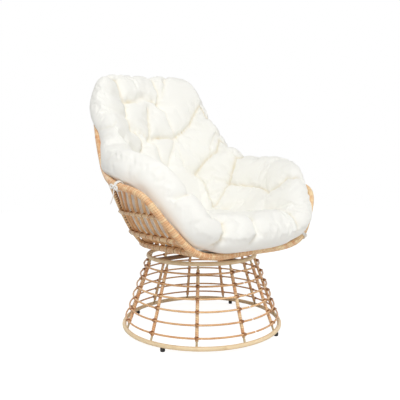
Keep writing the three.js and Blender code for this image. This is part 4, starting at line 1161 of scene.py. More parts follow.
@dataclass
class Ties:
    """The cushion's ties: cords round the rim with a knot, a bow and two hanging ends."""

    yard: Yard
    lines: SeatLines
    cord_radius: float = 2.9
    knot_radius: float = 6
    end_radius: float = 1.8
    bow_reach: float = 8
    bow_long: float = 1.25
    bow_high: float = 0.72
    bow_puff: float = 0.12
    drop: float = 3
    spread: float = 14
    tail: float = 52
    tail_steps: int = 18
    drift: float = 9
    ring_places: tuple[float, float] = (-0.6, 0.6)
    ring_steps: int = 32
    knot_turns: int = 2
    knot_steps: int = 48
    knot_turn_radius: float = 0.62
    knot_length: float = 1.5
    rear: float = 205
    front: float = -140
    gap: float = 0.3

    def build(self) -> None:
        """Makes the hanging ends first, then the bows."""
        for name, side in SIDES:
            self._tail(name, side)
        for name, side in SIDES:
            self._bow(f"tie_rear_{name}", self.rear, side, (1, -1))
        self._bow("tie_front_right", self.front, 1, ())

    def _seat(self, length: float, side: int) -> tuple[np.ndarray, np.ndarray, np.ndarray, np.ndarray]:
        """Gives a tie's place on the rim, the rim's direction, the way out and the knot."""
        share = self.lines.top_joint + length / self.lines.rim.length
        place = self.lines.rim.at(share) * (side, 1, 1)
        along = self.lines.rim.tangent(share) * (side, 1, 1)
        outwards = unit(np.array([along[1], -along[0], 0]) * side)
        knot = place + outwards * (self.lines.rim_radius + self.gap + self.knot_radius)
        return place, along, outwards, knot

    def _tail(self, name: str, side: int) -> None:
        """Makes the free end that hangs from a rear knot."""
        _, along, outwards, knot = self._seat(self.rear, side)
        points = []
        for i in range(self.tail_steps + 1):
            share = i / self.tail_steps
            point = knot - np.array([0, 0, self.knot_radius + self.gap + share * self.tail])
            points.append(point + (outwards + along) * self.drift * share ** 2)
        places = to_frame(np.array(points))
        curve = poly_curve(f"tie_rear_{name}_end", [(places, 1.0)])
        curve.bevel_depth = self.end_radius * MM
        curve.bevel_resolution = 3
        curve.use_fill_caps = True
        curve.materials.append(self.yard.finishes[Finish.CORD])
        piece = put(f"tie_rear_{name}_end", curve)
        self.yard.fit(piece, "seat", "canvas", f"tie_rear_{name}_tail")

    def _bow(self, node: str, length: float, side: int, loops: Sequence[int]) -> None:
        """Makes the cord round the rim with its knot and bow loops."""
        place, along, outwards, knot = self._seat(length, side)
        lines = []
        turn = np.linspace(0, 2 * math.pi, self.ring_steps + 1)
        ring = self.lines.rim_radius + self.gap + self.cord_radius
        upwards = np.cross(along, outwards)
        for shift in self.ring_places:
            centre = place + along * self.cord_radius * 2 * shift
            circle = np.outer(np.cos(turn), outwards) + np.outer(np.sin(turn), upwards)
            lines.append(Line(centre + ring * circle))
        for way in loops:
            centre = knot + along * way * self.spread - np.array([0, 0, self.drop])
            reach = np.outer(np.cos(turn + (math.pi if way > 0 else 0)), along)
            lift = np.outer(np.sin(turn), np.array([0, 0, 1.0]))
            puff = np.outer(1 + np.cos(turn + (0 if way > 0 else math.pi)), outwards) * self.bow_puff
            loop = centre + self.bow_reach * (reach * self.bow_long + lift * self.bow_high + puff)
            lines.append(Line(np.concatenate([[knot], loop, [knot]])))
        wrap = np.linspace(0, 2 * math.pi * self.knot_turns, self.knot_steps + 1)
        circle = np.outer(np.cos(wrap), outwards) + np.outer(np.sin(wrap), upwards)
        rise = (wrap / wrap[-1] - 0.5) * self.knot_radius * self.knot_length
        spiral = circle * self.knot_radius * self.knot_turn_radius
        lines.append(Line(knot + spiral + np.outer(rise, along)))
        piece = self.yard.canes.sweep(f"{node}_bow", lines, self.cord_radius, self.yard.finishes[Finish.CORD],
                                      Sides=10, Step=0.0018, Strip=0.003, Groove=0.0003)
        self.yard.fit(piece, "seat", "canvas", node)


@dataclass
class SeatFrame:
    """The bucket seat's rattan: rim, hoops, ribs, posts, floor and their bindings."""

    yard: Yard
    lines: SeatLines
    into_rim: float = 0.6
    binding_depth: float = 0.93
    binding_inwards: float = 0.8
    binding_over: float = 1.08
    binding_wall: float = 1.3
    binding_turns: float = 1.8
    binding_end: float = 2
    lashing_pitch: float = 13
    lashing_width: float = 0.72
    lashing_wall: tuple[float, float] = (1.2, 1.4)
    lashing_inwards: float = 2
    lashed_from: float = 0.3
    lashed_over: float = 0.62
    lashed_share: float = 0.66

    def build(self) -> None:
        """Makes every cane and binding of the seat."""
        lines = self.lines
        cane = self.yard.cane
        for name, side in SIDES:
            cane("seat", f"rim_{name}", "wrapped", [lines.rim.mirrored(side)], lines.rim_radius,
                 Finish.WRAPPED, Sides=20, Step=0.0016, Strip=0.0075, Groove=0.0011, Seed=2 + side)
        for name, hoop, seed in (("low", lines.low, 5), ("middle", lines.middle, 6), ("top", lines.top, 7)):
            cane("seat", f"seat_hoop_{name}", "wrapped", [self._between_rims(hoop)], hoop.radius,
                 Finish.WRAPPED, Sides=16, Step=0.0018, Strip=0.0072, Groove=0.0007, Seed=seed)
        for name, side in SIDES:
            for i, rib in enumerate(lines.side):
                cane("seat", f"side_rib_{name}_{i + 1}", "cane", [self._to_rim(rib).mirrored(side)],
                     lines.rib_radius, Finish.CANE, Knot_Height=0.0006, Seed=20 + 10 * side + i)
            cane("seat", f"back_post_{name}", "wrapped", [self._to_rim(lines.post).mirrored(side)],
                 lines.post_radius, Finish.WRAPPED, Sides=14, Step=0.0018, Strip=0.0068, Groove=0.0007,
                 Seed=40 + side)
        backs = [self._to_rim(lines.back[0])]
        for rib in lines.back[1:]:
            backs += [self._to_rim(rib), self._to_rim(rib).mirrored(-1)]
        bands = (lines.low_band, lines.high_band)
        radii = [lines.rib_radius] * len(backs) + [band.radius for band in bands]
        backs += [self._between_rims(band) for band in bands]
        cane("seat", "back_lattice", "canes", backs, radii, Finish.CANE, Knot_Height=0.0006, Seed=50)
        canes, radii = zip(*lines.floor)
        cane("seat", "seat_floor", "canes", canes, radii, Finish.CANE, Knot_Height=0.0006, Seed=60)
        self._bind()
        self._lash()

    def _between_rims(self, hoop: Hoop) -> Line:
        """Shortens a hoop so that its ends stop inside the rim."""
        share = self.lines.rim_radius * self.into_rim / hoop.line.length
        return hoop.line.part(share, 1 - share)

    def _to_rim(self, line: Line) -> Line:
        """Shortens a rib so that its upper end stops inside the rim."""
        return line.part(0, 1 - self.lines.rim_radius * self.into_rim / line.length)

    def _bind(self) -> None:
        """Wraps each crossing of a rib or post with a hoop or band."""
        sleeves = []
        for crossing in self.lines.crossings:
            across = np.cross(crossing.inwards, crossing.along)
            depth = (crossing.carrier + crossing.crosser) * self.binding_depth
            size = (depth * self.binding_over, crossing.carrier * self.binding_over + self.binding_wall,
                    crossing.crosser * self.binding_turns + self.binding_end)
            middle = crossing.point + crossing.inwards * (crossing.crosser * self.binding_inwards)
            sleeves.append((middle, axes_matrix(crossing.inwards, -across, crossing.along), size))
        piece = self.yard.bindings.bind("seat_bindings", sleeves, self.yard.finishes[Finish.BINDING])
        self.yard.fit(piece, "seat", "rattan")

    def _lash(self) -> None:
        """Lashes each rear corner post along its length in close turns with small gaps between."""
        post = self.lines.post
        straps = []
        count = int(post.length * self.lashed_share / self.lashing_pitch)
        wall, wide_wall = self.lashing_wall
        size = (self.lines.post_radius + wall, self.lines.post_radius + wide_wall,
                self.lashing_pitch * self.lashing_width)
        for side in (1, -1):
            for i in range(count):
                share = self.lashed_from + self.lashed_over * i / (count - 1)
                flip = (side, 1, 1)
                along = post.tangent(share) * flip
                place = post.at(share) * flip
                inwards = unit(np.cross(along, np.cross(np.array([-place[0], -place[1], 0.0]), along)))
                across = np.cross(along, inwards)
                middle = place + inwards * self.lashing_inwards
                straps.append((middle, axes_matrix(inwards, across, along), size))
        piece = self.yard.bindings.bind("post_lashings", straps, self.yard.finishes[Finish.BINDING])
        self.yard.fit(piece, "seat", "rattan")


@dataclass
class BaseCage:
    """The base's cage: steel rings, uprights in rattan sleeves, and the hoops bound to them."""

    yard: Yard
    radius: float = 310
    top_radius: float = 213
    spacing: float = 268.5
    tube: float = 8
    count: int = 11
    steel: float = 4
    sleeve: float = 6.2
    inset: float = 5
    past_hoop: float = 14
    hoops: int = 6
    hoop_radius: float = 3.4
    lowest: float = 33
    highest: float = 236
    turned: float = -42.2
    foot_height: float = 12
    gap: float = 0.3
    rod_past: float = 2
    binding_inwards: float = 0.9
    binding_depth: float = 1.15
    binding_wall: float = 2.6
    binding_length: float = 13
    ring_steps: int = 132
    tube_sides: int = 20
    hoop_steps: int = 180

    def build(self) -> None:
        """Makes the cage."""
        self.bottom = self.foot_height + self.tube
        self.slope = (self.radius - self.top_radius) / self.spacing
        self.angle = math.atan(self.slope)
        self._ring("base_ring_bottom", self.radius, self.bottom)
        self._ring("base_ring_top", self.top_radius, self.bottom + self.spacing)
        for i in range(self.count):
            line = self._upright(i, self.lowest - self.past_hoop, self.highest + self.past_hoop)
            self.yard.cane("base", f"base_upright_{i + 1}", "sleeve", [line], self.sleeve, Finish.WRAPPED,
                           Sides=12, Step=0.002, Strip=0.0065, Groove=0.0006, Seed=70 + i)
        rods = [self._upright(i, -self.rod_past, self.spacing + self.rod_past) for i in range(self.count)]
        piece = self.yard.canes.sweep("base_upright_rods", rods, self.steel,
                                      self.yard.finishes[Finish.ROD_STEEL], Sides=12, Step=0.002)
        self.yard.fit(piece, "base", "painted_steel")
        self._bound_hoops()

    def _bound_hoops(self) -> None:
        """Makes the hoops as level circles and binds them to the uprights."""
        sleeves = []
        stand = (self.sleeve + self.hoop_radius + self.gap - self.inset) / math.cos(self.angle)
        pitch = (self.highest - self.lowest) / (self.hoops - 1)
        size = (self.sleeve + self.hoop_radius * self.binding_depth, self.sleeve + self.binding_wall,
                self.binding_length)
        for i in range(self.hoops):
            above = self.lowest + i * pitch
            ring = self.radius - above * self.slope + stand
            self.yard.cane("base", f"base_hoop_{i + 1}", "cane", [self._loop(ring, self.bottom + above)],
                           self.hoop_radius, Finish.CANE, Sides=10, Step=0.005, Knot_Height=0.0004,
                           Knot_Spacing=0.31, Seed=90 + i)
            for k in range(self.count):
                out = self._out(k)
                along = np.array([-out[1], out[0], 0.0])
                reach = ring - self.hoop_radius * self.binding_inwards
                centre = out * reach + np.array([0, 0, self.bottom + above])
                sleeves.append((centre, axes_matrix(out, along, np.cross(out, along)), size))
        piece = self.yard.bindings.bind("base_bindings", sleeves, self.yard.finishes[Finish.BINDING])
        self.yard.fit(piece, "base", "rattan")

    def _out(self, i: int) -> np.ndarray:
        """Gives the plan direction of an upright."""
        angle = math.radians(self.turned) + i / self.count * 2 * math.pi
        return np.array([math.sin(angle), -math.cos(angle), 0.0])

    def _on_upright(self, i: int, above: float) -> np.ndarray:
        """Gives a point of an upright at a height over the bottom ring."""
        inwards = self.radius - above * self.slope - self.inset / math.cos(self.angle)
        return self._out(i) * inwards + np.array([0, 0, self.bottom + above])

    def _upright(self, i: int, start: float, end: float) -> Line:
        """Draws the stretch of an upright between two heights over the bottom ring."""
        return Line(np.array([self._on_upright(i, start), self._on_upright(i, end)]))

    def _loop(self, radius: float, height: float) -> Line:
        """Draws a level circle."""
        turn = np.linspace(0, 2 * math.pi, self.hoop_steps + 1)
        heights = np.full(len(turn), height)
        return Line(np.column_stack([radius * np.sin(turn), -radius * np.cos(turn), heights]))

    def _ring(self, node: str, radius: float, height: float) -> None:
        """Makes a steel ring of round tube."""
        positions = []
        faces = []
        sides = self.tube_sides
        for i in range(self.ring_steps):
            turn = i / self.ring_steps * 2 * math.pi
            out = np.array([math.sin(turn), -math.cos(turn), 0])
            here = i * sides
            after = (i + 1) % self.ring_steps * sides
            for k in range(sides):
                tip = k / sides * 2 * math.pi
                up = np.array([0, 0, height + self.tube * math.sin(tip)])
                positions.append(to_frame(out * (radius + self.tube * math.cos(tip)) + up))
                beside = (k + 1) % sides
                faces.append((here + k, after + k, after + beside, here + beside))
        piece = plain_piece(f"{node}_tube", positions, faces, self.yard.finishes[Finish.PAINTED_STEEL])
        self.yard.fit(piece, "base", "painted_steel", node)


def plain_piece(name: str, positions: Sequence[Sequence[float]], faces: Sequence[Sequence[int]],
                material: bpy.types.Material) -> bpy.types.Object:
    """Makes a smooth-shaded piece from points in the frame and faces.

    Args:
        name: The piece's name.
        positions: The points in metres.
        faces: The faces' point numbers.
        material: The finish.

    Returns:
        The piece.
    """
    mesh = bpy.data.meshes.new(name)
    mesh.from_pydata([tuple(p) for p in positions], [], [tuple(f) for f in faces])
    mesh.materials.append(material)
    mesh.shade_smooth()
    return put(name, mesh)


@dataclass(frozen=True)
class Fold:
    """A line along which the cushion is drawn in.

    Its course is in shares of the way round the roll, from the front centre to the right, and of the way
    out from the middle; shares out over 1 run on round the roll, to 2 on its under side.
    """

    STRETCH: ClassVar[tuple[float, float]] = (2.5, 1.0)

    depth: float
    width: float
    course: tuple[tuple[float, float], ...]

    def samples(self, step: float = 0.004) -> np.ndarray:
        """Gives close points along the course, as shares round and out."""
        line = np.array(self.course if len(self.course) > 1 else self.course * 2)
        steps = np.linalg.norm(np.diff(line, axis=0) * self.STRETCH, axis=1)
        reach = np.concatenate([[0.0], np.cumsum(steps)])
        count = max(2, int(reach[-1] / step))
        places = np.linspace(0, reach[-1], count) if reach[-1] > 0 else np.zeros(2)
        return np.column_stack([np.interp(places, reach, line[:, 0]), np.interp(places, reach, line[:, 1])])


TUFTS = (
    (0.551, 0.927), (0.485, 0.913), (0.563, 0.830), (0.525, 0.780), (0.463, 0.790), (0.500, 0.663),
    (0.412, 0.673), (0.278, 0.813), (0.316, 0.580), (0.573, 0.733), (0.721, 0.817), (0.588, 0.637),
    (0.682, 0.580), (0.125, 0.38), (0.875, 0.38),
)

FOLDS = (
    Fold(17, 15, ((0.572, 1.70), (0.562, 1.08), (0.554, 0.983), (0.554, 0.947), (0.551, 0.927))),
    Fold(20, 15, ((0.551, 0.927), (0.534, 0.930), (0.513, 0.937), (0.495, 0.930), (0.485, 0.913))),
    Fold(14, 13, ((0.485, 0.913), (0.482, 0.960), (0.486, 0.993), (0.490, 1.23), (0.492, 1.60))),
    Fold(10, 9, ((0.485, 0.913), (0.474, 0.953), (0.467, 0.990), (0.462, 1.22), (0.459, 1.60))),
    Fold(15, 14, ((0.551, 0.927), (0.565, 0.873), (0.563, 0.830), (0.552, 0.800), (0.549, 0.767))),
    Fold(14, 14, ((0.549, 0.767), (0.573, 0.733))),
    Fold(8, 9, ((0.485, 0.913), (0.477, 0.883), (0.472, 0.837), (0.463, 0.790))),
    Fold(15, 8, ((0.525, 0.780), (0.518, 0.827), (0.511, 0.873), (0.508, 0.897))),
    Fold(18, 12, ((0.525, 0.780), (0.495, 0.787), (0.463, 0.790))),
    Fold(16, 10, ((0.463, 0.790), (0.443, 0.820), (0.423, 0.863), (0.358, 1.12), (0.354, 1.32),
                  (0.352, 1.70))),
    Fold(9, 8, ((0.463, 0.790), (0.474, 0.740), (0.488, 0.703), (0.500, 0.663))),
    Fold(6, 10, ((0.462, 0.753), (0.460, 0.710), (0.451, 0.670), (0.412, 0.673))),
    Fold(10, 11, ((0.563, 0.830), (0.539, 0.803), (0.525, 0.780))),
    Fold(9, 11, ((0.525, 0.780), (0.515, 0.733), (0.514, 0.690), (0.500, 0.663))),
    Fold(16, 11, ((0.412, 0.673), (0.386, 0.733), (0.348, 0.840), (0.323, 0.920), (0.294, 1.30),
                  (0.292, 1.70))),
    Fold(8, 8, ((0.348, 0.840), (0.345, 0.897), (0.324, 1.03), (0.319, 1.23), (0.316, 1.50))),
    Fold(19, 13, ((0.278, 0.813), (0.277, 0.880), (0.275, 0.950), (0.274, 0.990), (0.264, 1.13),
                  (0.259, 1.70))),
    Fold(10, 12, ((0.412, 0.673), (0.359, 0.673), (0.335, 0.627), (0.316, 0.580))),
    Fold(12, 12, ((0.278, 0.813), (0.289, 0.707), (0.303, 0.603), (0.316, 0.580))),
    Fold(15, 13, ((0.283, 0.813), (0.233, 0.837), (0.167, 0.830), (0.152, 0.923), (0.140, 1.12),
                  (0.138, 1.40))),
    Fold(18, 14, ((0.108, 0.700), (0.097, 0.800), (0.074, 0.930), (0.062, 1.10), (0.058, 1.30),
                  (0.055, 1.70))),
    Fold(18, 13, ((0.890, 0.700), (0.905, 0.800), (0.925, 0.930), (0.943, 1.10), (0.944, 1.40), (0.943, 1.60),
                  (0.935, 1.85))),
    Fold(11, 9, ((0.992, 0.930), (0.986, 1.20), (0.986, 1.48), (0.979, 1.70))),
    Fold(9, 9, ((0.877, 1.05), (0.885, 1.20), (0.883, 1.49))),
    Fold(7, 12, ((0.665, 1.80), (0.674, 1.59), (0.677, 1.26), (0.658, 1.00))),
    Fold(5, 8, ((0.688, 1.75), (0.693, 1.47))),
    Fold(7, 9, ((0.635, 0.843), (0.589, 0.757), (0.573, 0.733))),
    Fold(8, 14, ((0.778, 1.80), (0.788, 1.50), (0.771, 1.20), (0.761, 0.950))),
    Fold(5, 6, ((0.800, 1.85), (0.798, 1.74), (0.807, 1.66))),
    Fold(4, 6, ((0.824, 1.85), (0.824, 1.68))),
    Fold(4, 6, ((0.834, 1.85), (0.838, 1.70))),
    Fold(14, 13, ((0.716, 0.817), (0.765, 0.833), (0.831, 0.823), (0.851, 0.900))),
    Fold(14, 12, ((0.721, 0.817), (0.708, 0.707), (0.693, 0.603), (0.682, 0.580))),
    Fold(14, 12, ((0.588, 0.637), (0.614, 0.740), (0.654, 0.860), (0.667, 0.937))),
    Fold(10, 12, ((0.588, 0.637), (0.641, 0.660), (0.664, 0.630), (0.682, 0.580))),
    Fold(8, 14, ((0.316, 0.580), (0.22, 0.44), (0.125, 0.38), (0.0, 0.27), (-0.125, 0.38), (-0.22, 0.44),
                 (-0.320, 0.580))),
    Fold(8, 14, ((0.125, 0.38), (0.118, 0.55), (0.108, 0.700))),
    Fold(8, 14, ((0.875, 0.38), (0.882, 0.55), (0.890, 0.700))),
)


@dataclass
class Cushion:
    """The tufted cushion: a quilted sheet with a fat lobed roll along its edge, puffed up as cloth."""

    yard: Yard
    lines: SeatLines
    half_width: float = 378
    front: float = -300
    back: float = 414
    low: float = 405
    high: float = 1022
    middle: tuple[float, float, float] = (0, -10, 404)
    body: float = 47
    pressed: float = 8
    roll_front: float = 61
    roll_back: float = 41
    slip: float = 42
    slip_half_width: float = 250
    slip_from: float = 650
    slip_over: float = 250
    tilt: float = 16
    flat_front: float = 0.55
    flat_back: float = 0.38
    climb_power: float = 1.3
    pressed_from: float = 0.34
    roll_over: float = 0.16
    under_roll_from: float = 0.84
    top_roll_from: float = 0.6
    top_roll_over: float = 0.4
    shares_right: tuple[tuple[float, float, float], ...] = (
        (0.000, 0.000, 0.000), (0.582, 0.021, 0.032), (0.754, 0.081, 0.152), (0.884, 0.165, 0.284),
        (1.000, 0.322, 0.357), (0.913, 0.504, 0.388), (0.800, 0.645, 0.465), (0.720, 0.758, 0.625),
        (0.670, 0.868, 0.810), (0.555, 0.950, 0.965), (0.410, 0.983, 0.990), (0.212, 0.997, 0.998),
        (0.000, 1.000, 1.000),
    )
    shares_left: tuple[tuple[float, float, float], ...] = (
        (0.000, 0.000, 0.000), (0.582, 0.021, 0.032), (0.754, 0.081, 0.152), (0.884, 0.165, 0.286),
        (1.000, 0.322, 0.368), (0.913, 0.504, 0.394), (0.790, 0.642, 0.462), (0.688, 0.743, 0.616),
        (0.651, 0.856, 0.799), (0.529, 0.932, 0.968), (0.397, 0.964, 1.000), (0.212, 0.986, 0.998),
        (0.000, 1.000, 1.000),
    )
    frame_out: float = 0.06
    frame_round: float = 0.03
    tuft_depth: float = 30
    tuft_width: float = 24
    deeper: float = 1.45
    wider: float = 1.7
    fill_most: float = 58
    fill_until: float = 0.95
    fill_from: float = -330
    fill_clear: float = 3.5
    fill_fade: float = 0.12
    fill_fade_front: float = 120
    fill_part: float = 0.5
    least_passes: int = 2
    calm_passes: int = 6
    cane_samples: int = 100
    crease_width: float = 6
    crease_full_depth: float = 24
    crease_reach: float = 5
    free_until: float = 0.62
    free_fade: float = 0.3
    sewn_gain: float = 1.25
    sewn_from: float = 0.12
    around: int = 330
    rings: int = 84
    edge_rings: int = 18
    under_rings: int = 26
    rounding_passes: int = 130
    fill_steps: int = 4
    rounding_share: float = 0.7

    def build(self) -> None:
        """Makes the cushion."""
        corner = np.array([0, self.front, self.low])
        spread = np.array([self.half_width, self.back - self.front, self.high - self.low])
        right = corner + np.array(self.shares_right) * spread
        left = (corner + np.array(self.shares_left) * spread) * (-1, 1, 1)
        self.roll = Line.through(np.concatenate([right, left[-2:0:-1]]), closed=True)
        self.drawn = [(fold, self._smooth(*self._unrolled(fold.samples()))[0]) for fold in self._all_folds()]
        positions, creases, free = self._skin()
        positions = ClothPuff().puff(positions, self._faces(self.around, positions), free)
        fine = self._finer(np.column_stack([positions, creases]))
        faces = self._faces(2 * self.around, fine)
        piece = plain_piece("cushion_cover", to_frame(fine[:, :3]), faces, self.yard.finishes[Finish.CANVAS])
        # the crease attribute carries the painted shade in the creases' bottoms
        crease = piece.data.attributes.new("crease", "FLOAT", "POINT")
        crease.data.foreach_set("value", np.clip(fine[:, 3], 0, 1))
        self.yard.fit(piece, "seat", "canvas", "cushion")

    def _all_folds(self) -> list[Fold]:
        """Gives the folds and the tufts, which are folds of no length."""
        folds = [Fold(fold.depth * self.deeper, fold.width * self.wider, fold.course) for fold in FOLDS]
        return [*folds, *(Fold(self.tuft_depth, self.tuft_width, (tuft,)) for tuft in TUFTS)]

    @staticmethod
    def _unrolled(places: np.ndarray) -> tuple[np.ndarray, np.ndarray, np.ndarray]:
        """Splits shares out into the share of the sheet and the angle round the roll."""
        out = places[:, 1]
        return places[:, 0], np.minimum(out, 1.0), np.clip(out - 1.0, 0, 1) * math.pi

    def _slipped(self, point: np.ndarray) -> np.ndarray:
        """Spreads the cushion's top to the left and tips its right corner up."""
        rise = ramp(point[..., 2], self.slip_from, self.slip_over)
        across = np.clip(point[..., 0] / self.slip_half_width, -1, 1)
        moved = point.copy()
        moved[..., 0] -= self.slip * rise * (0.5 - 0.5 * across)
        moved[..., 2] += self.tilt * rise * np.clip(2 * across, -1, 1)
        return moved

    def _sheet(self, turn: np.ndarray, out: np.ndarray) -> np.ndarray:
        """Gives the middle of the thickness at shares of the way round and out."""
        roll = self.roll.at(turn % 1.0)
        reach = roll - np.array(self.middle)
        backness = np.clip(reach[..., 1] / np.hypot(reach[..., 0], reach[..., 1]), 0, 1)
        flat = self.flat_front + (self.flat_back - self.flat_front) * backness ** 2
        climb = np.clip((out - flat) / (1 - flat), 0, None) ** self.climb_power
        return self._slipped(np.array(self.middle) + reach * np.stack([out, out, climb], axis=-1))

    def _axes(self, turn: np.ndarray, out: np.ndarray) -> tuple[np.ndarray, np.ndarray]:
        """Gives the way out along the sheet and the way up from it."""
        middle = np.minimum(out, 1 - self.frame_out)
        outwards = self._sheet(turn, middle + self.frame_out) - self._sheet(turn, middle - self.frame_out)
        outwards /= np.linalg.norm(outwards, axis=-1, keepdims=True)
        step = self.frame_round
        along = self._sheet(turn + step, out) - self._sheet(turn + 1 - step, out)
        up = np.cross(outwards, along)
        up /= np.linalg.norm(up, axis=-1, keepdims=True)
        return outwards, up

    def _smooth(self, turn: np.ndarray, out: np.ndarray, angle: np.ndarray) -> tuple[np.ndarray, np.ndarray]:
        """Gives points of the cover before it is drawn in, and the way out of it at each."""
        sheet = self._sheet(turn, out)
        outwards, up = self._axes(turn, out)
        frontness = np.clip((self.back - self.roll.at(turn % 1.0)[..., 1]) / (self.back - self.front), 0, 1)
        fat = self.roll_back + (self.roll_front - self.roll_back) * frontness
        under = angle >= math.pi
        thin = self.body + (self.pressed - self.body) * ramp(out, self.pressed_from, self.roll_over)
        plain = np.where(under, thin, self.body)
        rollness = np.where(under, ramp(out, self.under_roll_from, self.roll_over),
                            ramp(out, self.top_roll_from, self.top_roll_over))
        half = (plain + (fat - plain) * rollness)[:, None]
        way = up * np.cos(angle)[:, None] + outwards * np.sin(angle)[:, None]
        return sheet + way * half, way

    def _drawn_in(self, points: np.ndarray) -> tuple[np.ndarray, np.ndarray]:
        """Gives how far each point is drawn in by the folds, and how near the bottom of one it lies."""
        total = np.zeros(len(points))
        mark = np.zeros(len(points))
        for fold, places in self.drawn:
            low = places.min(axis=0) - fold.width * self.crease_reach
            high = places.max(axis=0) + fold.width * self.crease_reach
            near = np.nonzero(np.all((points > low) & (points < high), axis=1))[0]
            if not len(near):
                continue
            away = np.full(len(near), np.inf)
            for place in places:
                away = np.minimum(away, np.linalg.norm(points[near] - place, axis=1))
            total[near] += (fold.depth * np.exp(-away / fold.width)) ** 3
            # this mark becomes painted shade in the canvas colour, and also pins the sewn points
            dark = np.exp(-away / self.crease_width) * min(1.0, fold.depth / self.crease_full_depth)
            mark[near] = np.maximum(mark[near], dark)
        return np.cbrt(total), mark

    def _rounded(self, grid: np.ndarray) -> np.ndarray:
        """Rounds the sheet's inner corners as the filling does, with its first and last ring kept."""
        for _ in range(self.rounding_passes):
            beside = np.roll(grid, 1, axis=1) + np.roll(grid, -1, axis=1)
            middle = (beside[1:-1] + grid[:-2] + grid[2:]) / 4
            grid[1:-1] += (middle - grid[1:-1]) * self.rounding_share
        return grid

    def _fill(self, points: np.ndarray, way: np.ndarray, share: np.ndarray) -> None:
        """Lets the under side swell towards the canes that it rests on, and stops short of them.

        Args:
            points: The cover's points, which are moved in place.
            way: The way out of the cover at each.
            share: How far each point takes part, from 0 on the sitter's side to 1 underneath.
        """
        lines = self.lines
        halves = [(rib, lines.rib_radius) for rib in (*lines.side, *lines.back)]
        halves += [(lines.post, lines.post_radius), (lines.rim, lines.rim_radius)]
        canes = [(half.samples * (side, 1, 1), radius) for half, radius in halves for side in (1, -1)]
        hoops = (lines.low, lines.middle, lines.top, lines.low_band, lines.high_band)
        canes += [(hoop.line.samples, hoop.radius) for hoop in hoops]
        shares = np.linspace(0, 1, self.cane_samples)
        canes += [(line.at(shares), radius) for line, radius in lines.floor]
        places = np.concatenate([samples for samples, _ in canes])
        radii = np.concatenate([np.full(len(samples), radius) for samples, radius in canes])
        tree = KDTree(len(places))
        for i, place in enumerate(places):
            tree.insert(place, i)
        tree.balance()
        moving = np.nonzero(share > 0)[0]
        swollen = np.zeros(len(points))
        for _ in range(self.fill_steps):
            step = np.zeros(len(points))
            for i in moving:
                _, nearest, away = tree.find(points[i])
                step[i] = max(0.0, away - radii[nearest] - self.fill_clear) * self.fill_part
            step = np.minimum(step * share, self.fill_most - swollen)
            step = self._calmed(step)
            points += way * step[:, None]
            swollen += step

    def _calmed(self, step: np.ndarray) -> np.ndarray:
        """Takes the least of each point's neighbours, then smooths, so that the swelling has no lumps."""
        grid = step.reshape(-1, self.around)
        for _ in range(self.least_passes):
            around = np.minimum(np.roll(grid, 1, axis=1), np.roll(grid, -1, axis=1))
            grid = np.minimum(grid, around)
        for _ in range(self.calm_passes):
            grid = (grid * 2 + np.roll(grid, 1, axis=1) + np.roll(grid, -1, axis=1)) / 4
            grid[1:-1] = (grid[1:-1] * 2 + grid[:-2] + grid[2:]) / 4
        return grid.reshape(-1)

    def _skin(self) -> tuple[np.ndarray, np.ndarray, np.ndarray]:
        """Builds the cover's points, their crease shares and how free each is to puff up."""
        places = [(i / self.rings, 0.0) for i in range(1, self.rings + 1)]
        places += [(1.0, i / (self.edge_rings + 1) * math.pi) for i in range(1, self.edge_rings + 1)]
        places += [(i / self.under_rings, math.pi) for i in range(self.under_rings, 0, -1)]
        turn = np.tile(np.arange(self.around) / self.around, len(places))
        out = np.repeat([place[0] for place in places], self.around)
        angle = np.repeat([place[1] for place in places], self.around)
        points, way = self._smooth(turn, out, angle)
        sitter = self.rings * self.around
        rounded = points.copy()
        grid = rounded[:sitter].reshape(self.rings, self.around, 3)
        rounded[:sitter] = self._rounded(grid).reshape(-1, 3)
        inside = np.clip((self.fill_until - out) / self.fill_fade, 0, 1)
        inside *= ramp(rounded[:, 1], self.fill_from, self.fill_fade_front)
        self._fill(rounded, way, np.where(angle >= math.pi, inside, 0.0))
        caps = np.array([(0, 0, 1), (0, 0, -1)])
        poles = np.array(self.middle) + caps * self.body
        points = np.concatenate([poles[:1], points, poles[1:]])
        rounded = np.concatenate([poles[:1], rounded, poles[1:]])
        way = np.concatenate([caps[:1], way, caps[1:]])
        depth, creases = self._drawn_in(points)
        positions = rounded - way * depth[:, None]
        on_roll = np.clip((self.free_until * math.pi - angle) / self.free_fade, 0, 1)
        sewn = np.clip(creases * self.sewn_gain - self.sewn_from, 0, 1)
        return positions, creases, np.concatenate([[1.0], on_roll, [0.0]]) * (1 - sewn)

    def _finer(self, values: np.ndarray) -> np.ndarray:
        """Halves the grid's steps both ways with smooth values between, and keeps the two poles."""
        grid = values[1:-1].reshape(-1, self.around, values.shape[1])
        beside = np.roll(grid, -1, axis=1)
        between = (9 * (grid + beside) - np.roll(grid, 1, axis=1) - np.roll(grid, -2, axis=1)) / 16
        wide = np.stack([grid, between], axis=2).reshape(len(grid), -1, values.shape[1])
        ends = np.concatenate([wide[:1], wide, wide[-1:]])
        between = (9 * (ends[1:-2] + ends[2:-1]) - ends[:-3] - ends[3:]) / 16
        tall = np.empty((2 * len(wide) - 1, *wide.shape[1:]))
        tall[::2] = wide
        tall[1::2] = between
        return np.concatenate([values[:1], tall.reshape(-1, values.shape[1]), values[-1:]])

    @staticmethod
    def _faces(around: int, points: np.ndarray) -> list[tuple[int, ...]]:
        """Gives the faces of a grid of rings between two poles."""
        faces: list[tuple[int, ...]] = []
        last = len(points) - 1
        rings = (last - 1) // around
        for i in range(around):
            after = (i + 1) % around
            faces.append((0, 1 + i, 1 + after))
            for ring in range(rings - 1):
                inner = 1 + ring * around
                outer = inner + around
                faces.append((inner + i, outer + i, outer + after, inner + after))
            rim = last - around
            faces.append((last, rim + after, rim + i))
        return faces


